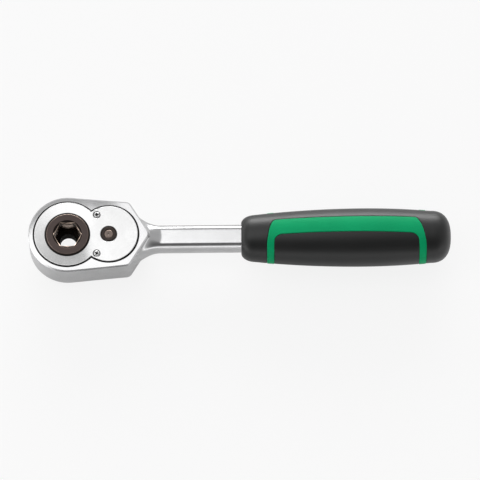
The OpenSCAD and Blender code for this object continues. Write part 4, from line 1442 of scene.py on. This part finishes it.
class Handle:
    """Outside of the handle in millimetres; the angle runs from the top towards the near side."""

    # Radius at which the handle is unrolled
    flat_r = 11.5

    def __init__(self):
        self.s, self.inlay = sizes("ratchet_handle"), sizes("ratchet_inlay")
        self.axis_z = sizes("ratchet_head").thickness / 2

    def half(self, x):
        """Half the width at a distance from the front."""
        s = self.s
        body_x = np.minimum(x, s.long - s.dome_len)
        before = (s.belly_w - s.front_w) / 2 * (1 - body_x / s.belly_x) ** 2
        after = (s.belly_w - s.rear_w) / 2 * ((body_x - s.belly_x) / (s.long - s.dome_len - s.belly_x)) ** 2
        body = s.belly_w / 2 - np.where(body_x < s.belly_x, before, after)
        front = s.front_round * (1 - np.sqrt(np.maximum(1 - np.maximum(0, 1 - x / s.front_run) ** 2, 0)))
        far = np.maximum(0, x - s.long + s.dome_len) / (s.dome_len - s.dome_cut)
        return (body - front) * np.maximum(1 - far ** s.dome_power, 0) ** (1 / s.dome_power)

    def section(self, half, turn):
        """Radius of the rounded section at an angle."""
        s = self.s
        half = np.maximum(half, 1e-9)
        across, up = np.abs(np.sin(turn)) / half, np.abs(np.cos(turn)) / (half * s.height_share)
        return (across ** s.power + up ** s.power) ** (-1 / s.power)

    def place(self, x, turn, r):
        """Points at a distance from the front, an angle and a radius."""
        x, turn, r = np.broadcast_arrays(x, turn, r)
        return np.stack([self.s.start + x, -r * np.sin(turn), self.axis_z + r * np.cos(turn)], -1)

    def surface(self, x, turn, rise=0.0):
        """Points of the surface, raised by a height."""
        return self.place(x, turn, self.section(self.half(x), turn) + rise)

    def on_skin(self, flat, rise):
        """Points of the unrolled handle, put on its surface."""
        return self.surface(flat[:, 0], flat[:, 1] / self.flat_r, rise)

    def inlay_outline(self, spacing=0.35):
        """Outline of an inlay on the unrolled handle, evenly spaced, anticlockwise."""
        u = self.inlay
        lean = lambda a: np.maximum(0, u.lean_end - a) ** 2 / (u.lean_end + u.bar_far) ** 2
        front = lambda a: u.leg_front_x + u.lean_front * lean(a)
        rear = lambda a: u.leg_rear_x - u.lean_rear * lean(a)
        corner_turn = u.corner_r / (self.s.belly_w / 2)
        corner = u.bar_near + corner_turn
        start, end = front(corner) + u.leg_w + u.corner_r, rear(corner) - u.leg_w - u.corner_r
        bar_points = 120
        legs = np.linspace(u.leg_end, corner, 90)
        t = np.linspace(0, math.pi / 2, 60)
        drop = corner - (corner + u.bar_far) * np.sin(t) ** u.corner_share
        ease = 1 - np.cos(t) ** u.corner_share
        bar = np.linspace(start, end, bar_points)
        bow = u.bar_near - u.bar_bow * (1 - np.linspace(-1, 1, bar_points) ** 2)
        bend = u.bar_near + corner_turn * (1 - np.sin(t))
        outer = [
            np.stack([front(legs), legs], 1),
            np.stack([front(drop) + (start - front(drop)) * ease, drop], 1),
            np.stack([bar, np.full(bar_points, -u.bar_far)], 1),
            np.stack([rear(drop) + (end - rear(drop)) * ease, drop], 1)[::-1],
            np.stack([rear(legs), legs], 1)[::-1],
        ]
        inner = [
            np.stack([rear(legs) - u.leg_w, legs], 1),
            np.stack([end + u.corner_r * np.cos(t), bend], 1),
            np.stack([bar, bow], 1)[::-1],
            np.stack([start - u.corner_r * np.cos(t), bend], 1)[::-1],
            np.stack([front(legs) + u.leg_w, legs], 1)[::-1],
        ]
        loop = []
        for side in (np.vstack(outer), np.vstack(inner)):
            line = side * (1, self.flat_r)
            far = np.concatenate([[0], np.cumsum(np.linalg.norm(np.diff(line, axis=0), axis=1))])
            keep = np.concatenate([[True], np.diff(far) > 1e-6])
            even = np.linspace(0, far[-1], int(far[-1] / spacing))
            loop.append(np.stack([np.interp(even, far[keep], line[keep, i]) for i in (0, 1)], 1))
        a, b = loop
        steps = np.linspace(0, 1, 9)[1:-1, None]
        loop = np.vstack([a, a[-1] + (b[0] - a[-1]) * steps, b, b[-1] + (a[0] - b[-1]) * steps])
        area = (loop[:, 0] * np.roll(loop[:, 1], -1) - np.roll(loop[:, 0], -1) * loop[:, 1]).sum()
        return loop if area > 0 else loop[::-1]


def offset_loop(loop, inset):
    """A closed anticlockwise loop drawn in by an inset, or out where that is negative."""
    on = np.roll(loop, -1, 0) - loop
    on = on / np.linalg.norm(on, axis=1)[:, None]
    normal = np.stack([-on[:, 1], on[:, 0]], 1)
    before = np.roll(normal, 1, 0)
    lean = (normal + before) / (1 + (normal * before).sum(1))[:, None]
    return loop + lean * inset


def edge_drop(inset, radius):
    """How far a rounded edge lies under its face at a distance from the edge."""
    return radius - np.sqrt(max(radius ** 2 - max(radius - inset, 0) ** 2, 0))


def edge_insets(radius, steps=5):
    """Distances from an edge that share out the turn of its rounding."""
    return [radius * (1 - math.cos(math.pi / 2 * k / steps)) for k in range(steps + 1)]


def inlay_area(handle):
    """Points, drops and triangles of an inlay's face on the unrolled handle; the outline comes first."""
    loop = handle.inlay_outline()
    radius = handle.inlay.edge_r
    insets = edge_insets(radius) + [radius + 0.35]
    loops = [offset_loop(loop, inset) for inset in insets]
    grid = flat_grid(loop.min(0), loop.max(0), SKIN_GRID)
    grid = grid[inside(grid, [loop])]
    grid = grid[clear_of(grid, [loops[-1]], GRID_GAP) & clear_of(grid, [loop], radius + 0.6)]
    extra = np.vstack(loops[1:] + [grid])
    drops = [np.full(len(loop), edge_drop(inset, radius)) for inset in insets] + [np.zeros(len(grid))]
    return np.vstack([loop, extra]), np.concatenate(drops), fill([loop], extra), len(loop)


class RATCHET_OT_skin(bpy.types.Operator):
    """Soft black skin of the handle with the grooves of its inlays"""

    bl_idname = "ratchet.skin"
    bl_label = "Handle skin"

    def execute(self, context):
        handle, head = Handle(), sizes("ratchet_head")
        s, r = handle.s, handle.flat_r
        columns, stations, lip, fit = 144, 100, 0.25, 0.02
        seam = math.radians(130.5)
        turn = seam - 2 * math.pi + full_turn(columns)
        front_x, rear_x = s.core_front, s.long - s.dome_len
        bar_w, bar_t = head.shank_d / 2 + FIT, head.shank_t / 2 + FIT
        hole = np.minimum(bar_w, bar_t / np.maximum(np.abs(np.cos(turn)), 1e-6))
        face = handle.section(handle.half(np.array(0.0)), turn)
        ring = lambda x, radius: handle.place(x, turn, np.broadcast_to(radius, turn.shape))

        # From the middle of the core's rear end through the hole of the shank to the front of the grooves
        core = [(x, handle.half(np.array(x)) * s.height_share - s.skin_t + fit)
                for x in (s.long - s.core_rear, s.belly_x, s.core_front)]
        rows = [ring(core[0][0], 0.0)] + [ring(x, reach) for x, reach in core]
        rows += [ring(s.core_front, hole), ring(0.35, hole), ring(0.1, hole + 0.07), ring(0.0, hole + lip)]
        rows += [ring(0.0, hole + lip + (face - hole - lip) * k / 3) for k in (1, 2)]
        early = np.concatenate([s.front_run * (1 - np.cos(np.linspace(0, math.pi / 2, 19))),
                                np.linspace(s.front_run, front_x, 4)[1:-1]])
        rows += [handle.surface(x, turn) for x in early]

        # The rounded end
        rise = np.sin(np.linspace(0, math.pi / 2, 34)[1:]) ** (2 / s.dome_power)
        ends = [handle.surface(x, turn) for x in rear_x + (s.dome_len - s.dome_cut) * rise]
        points = [np.concatenate(rows), np.concatenate(ends)]
        first, count = len(rows) * columns, (len(rows) + len(ends)) * columns
        faces = ring_faces(len(rows), columns) + ring_faces(len(ends), columns, first)

        # The unrolled middle with the edges of its grooves
        low, high = (front_x, turn[0] * r), (rear_x, seam * r)
        along, across = np.linspace(front_x, rear_x, stations), np.append(turn, seam) * r
        border = np.vstack([
            np.stack([along, np.full(stations, low[1])], 1),
            np.stack([np.full(columns, rear_x), across[1:]], 1),
            np.stack([along, np.full(stations, high[1])], 1)[-2::-1],
            np.stack([np.full(columns, front_x), across[:-1]], 1)[:0:-1],
        ])
        outline = handle.inlay_outline()
        grooves = [outline, outline - (0, math.pi * r)]
        insets = edge_insets(s.groove_edge_r) + [s.groove_edge_r + 0.4]
        rims = [[offset_loop(groove, -inset) for inset in insets[1:]] for groove in grooves]
        grid = flat_grid(low, high, SKIN_GRID)
        grid = grid[~inside(grid, grooves)]
        grid = grid[clear_of(grid, [rim[-1] for rim in rims] + grooves, GRID_GAP)]
        grid = grid[clear_of(grid, grooves, insets[-1] + 0.2)]
        extra = np.vstack([rim for rims_of in rims for rim in rims_of] + [grid])
        drop = [edge_drop(inset, s.groove_edge_r) for inset in insets]
        flat = np.vstack([border, *grooves, extra])
        drops = [np.zeros(len(border))] + [np.full(len(outline), drop[0]) for _ in grooves]
        drops += [np.full(len(outline), d) for _ in grooves for d in drop[1:]] + [np.zeros(len(grid))]
        points.append(handle.on_skin(flat, -np.concatenate(drops)))
        faces += (fill([border, *grooves], extra) + count).tolist()
        edge_first = count + len(border)
        count += len(flat)

        # The floors and walls of the grooves
        area, _, floor, edge = inlay_area(handle)
        for side in (0, 1):
            points.append(handle.on_skin(area - (0, side * math.pi * r), -s.groove_depth))
            faces += (floor + count).tolist() + band(edge_first + side * edge, count, edge)
            count += len(area)

        # The middle's two ends, joined to the front and to the rounded end
        points += [handle.surface(x, turn) for x in (front_x, rear_x)]
        faces += band(first - columns, count, columns) + band(count + columns, first, columns)
        made = piece("handle_skin_soft", np.concatenate(points), faces)
        settle(made, "soft_skin", "head", "soft_black", "grip_cover", sharp=50)
        return {"FINISHED"}


class RATCHET_OT_inlays(bpy.types.Operator):
    """Green inlays of the handle, the second half a turn from the first"""

    bl_idname = "ratchet.inlays"
    bl_label = "Handle inlays"

    def execute(self, context):
        handle = Handle()
        flat, drops, triangles, edge = inlay_area(handle)
        count = len(flat)
        walls = band(0, count, edge)
        for name, node, shift in (
            ("handle_inlay_front", "grip_inlay_front", 0),
            ("handle_inlay_back", "grip_inlay_back", math.pi * handle.flat_r),
        ):
            here = flat - (0, shift)
            points = np.concatenate([
                handle.on_skin(here, handle.inlay.proud - drops), handle.on_skin(here, -handle.inlay.depth)
            ])
            faces = triangles.tolist() + (triangles + count).tolist() + walls
            settle(piece(name, points, faces), "green_plastic", "head", "green_plastic", node, sharp=50)
        return {"FINISHED"}


# Stage


def floor_finish(s):
    """A pale floor that is plain white to the camera near the tool, white in part in reflections with a painted
    pool of light behind the handle and to its right, and clear from below.
    """
    m = Finish("pale_floor")
    pale = m.add("ShaderNodeBsdfDiffuse", None, {"Color": (*s.pale, 1)})
    clear = m.add("ShaderNodeBsdfTransparent")
    white = m.add("ShaderNodeEmission", None, {"Color": (1, 1, 1, 1), "Strength": 1.0})
    seen, mirrored, through = (
        m.add("ShaderNodeLightPath", None, None, f"Is {kind} Ray")
        for kind in ("Camera", "Glossy", "Transmission")
    )
    far = m.add("ShaderNodeVectorMath", {"operation": "LENGTH"}, {0: m.place}, "Value").clamp(0.4, 1.2)
    # painted light: a pool of plain white in reflections on the floor behind the handle and to its right
    right = m.along(m.place, 0.7, 0.7, 0).clamp(0.05, 0.12)
    sheen = s.sheen + (s.sheen_right - s.sheen) * right
    glow = (s.glow + (1 - s.glow) * far) * seen + sheen * (1 - far) * (mirrored + through)
    lit = m.add("ShaderNodeMixShader", None, {0: glow, 1: pale, 2: white})
    facing = m.add("ShaderNodeNewGeometry", None, None, "Backfacing")
    mixed = m.add("ShaderNodeMixShader", None, {0: facing, 1: lit, 2: clear})
    m.add("ShaderNodeOutputMaterial", None, {"Surface": mixed})
    return m.material


def studio_floor(s, steps=64):
    """A round flat floor under the tool."""
    points = [(r * math.cos(a), r * math.sin(a), s.floor_z)
              for r in (0, s.floor_r / 2, s.floor_r) for a in full_turn(steps)]
    mesh = bpy.data.meshes.new("studio_floor")
    mesh.from_pydata((np.array(points) * MM).tolist(), [], [face[::-1] for face in ring_faces(3, steps)])
    mend(mesh)
    mesh.shade_smooth()
    mesh.materials.append(floor_finish(s))
    return put("studio_floor", mesh)


def studio_world(s):
    """A world that is white to the camera and lights the tool from the far side, the left and the front."""
    world = bpy.data.worlds.new("studio_world")
    world.use_nodes = True
    world.node_tree.nodes.clear()
    w = Nodes(world.node_tree)
    way = w.add("ShaderNodeTexCoord", output="Generated")
    up = w.add("ShaderNodeSeparateXYZ", None, {0: way}, "Z")
    low = up.clamp(0.0, 0.25) * (1 - up.clamp(0.38, 0.66)) * w.along(way, 0, 1, 0).clamp(0.78, 0.97)
    front = (1 - up.clamp(0.05, 0.32)) * w.along(way, 0, -1, 0).clamp(0.0, 0.7)
    left = (1 - up.clamp(0.1, 0.45)) * w.along(way, -1, 0, 0).clamp(0.4, 0.9)
    dark = s.near_side * w.along(way, 0, -0.57, 0.82).clamp(0.6, 0.93)
    light = (s.zenith + (s.far_side - s.zenith) * low + s.front * front + s.left * left) * (1 - dark)
    seen = w.add("ShaderNodeLightPath", None, None, "Is Camera Ray")
    strength = light + seen * (1 - light)
    sky = w.add("ShaderNodeBackground", None, {"Color": (1, 1, 1, 1), "Strength": strength})
    w.add("ShaderNodeOutputWorld", None, {"Surface": sky})
    return world


def overhead_lamp(s):
    """A large soft lamp that looks straight down."""
    lamp = put("overhead_lamp", bpy.data.lights.new("overhead_lamp", "AREA"))
    lamp.data.shape = "RECTANGLE"
    lamp.data.size, lamp.data.size_y = s.lamp_long * MM, s.lamp_deep * MM
    lamp.data.energy = s.lamp_w
    lamp.location = Vector((s.lamp_x, s.lamp_y, s.lamp_h)) * MM


def far_camera(s):
    """A camera with a long lens above the near side of the tool."""
    camera = put("camera", bpy.data.cameras.new("camera"))
    target = Vector((s.target_x, s.target_y, s.target_z)) * MM
    back = Vector((0, -math.cos(s.elevation), math.sin(s.elevation)))
    camera.data.sensor_width = 36
    camera.data.lens = camera.data.sensor_width * s.distance / s.width
    camera.data.clip_start, camera.data.clip_end = 0.05, 20
    camera.location = target + back * s.distance * MM
    camera.rotation_mode = "QUATERNION"
    camera.rotation_quaternion = (-back).to_track_quat("-Z", "Y") @ Quaternion((0, 0, 1), -s.roll)
    return camera


class RATCHET_OT_stage(bpy.types.Operator):
    """Pale floor, soft light and the camera"""

    bl_idname = "ratchet.stage"
    bl_label = "Stage"

    def execute(self, context):
        s, scene = sizes("ratchet_stage"), context.scene
        floor = studio_floor(s)
        scene.world = studio_world(s)
        overhead_lamp(s)
        scene.camera = far_camera(s)
        scene.view_settings.view_transform = "Standard"
        return {"FINISHED"}


OPERATORS = (
    RATCHET_OT_forging, RATCHET_OT_plate, RATCHET_OT_cover_screws, RATCHET_OT_bush, RATCHET_OT_wheel,
    RATCHET_OT_selector, RATCHET_OT_lever, RATCHET_OT_lever_screw, RATCHET_OT_spring, RATCHET_OT_works,
    RATCHET_OT_skin, RATCHET_OT_inlays, RATCHET_OT_stage,
)


class RATCHET_PT_panel(bpy.types.Panel):
    """Lists the pieces in the order in which they are built"""

    bl_idname = "RATCHET_PT_panel"
    bl_label = "Bit ratchet"
    bl_space_type = "VIEW_3D"
    bl_region_type = "UI"
    bl_category = "Ratchet"

    def draw(self, context):
        for operator in OPERATORS:
            self.layout.operator(operator.bl_idname)


CLASSES = (*GROUPS.values(), *OPERATORS, RATCHET_PT_panel)


def register():
    """Registers the classes and puts the groups of values on the scene."""
    for kind in CLASSES:
        bpy.utils.register_class(kind)
    for name, group in GROUPS.items():
        setattr(bpy.types.Scene, name, bpy.props.PointerProperty(type=group))


def unregister():
    """Takes the groups and the classes away again."""
    for name in GROUPS:
        delattr(bpy.types.Scene, name)
    for kind in reversed(CLASSES):
        bpy.utils.unregister_class(kind)


def main():
    """Registers the classes and builds every piece in order."""
    register()
    for operator in OPERATORS:
        family, name = operator.bl_idname.split(".")
        getattr(getattr(bpy.ops, family), name)()


if __name__ == "__main__":
    main()
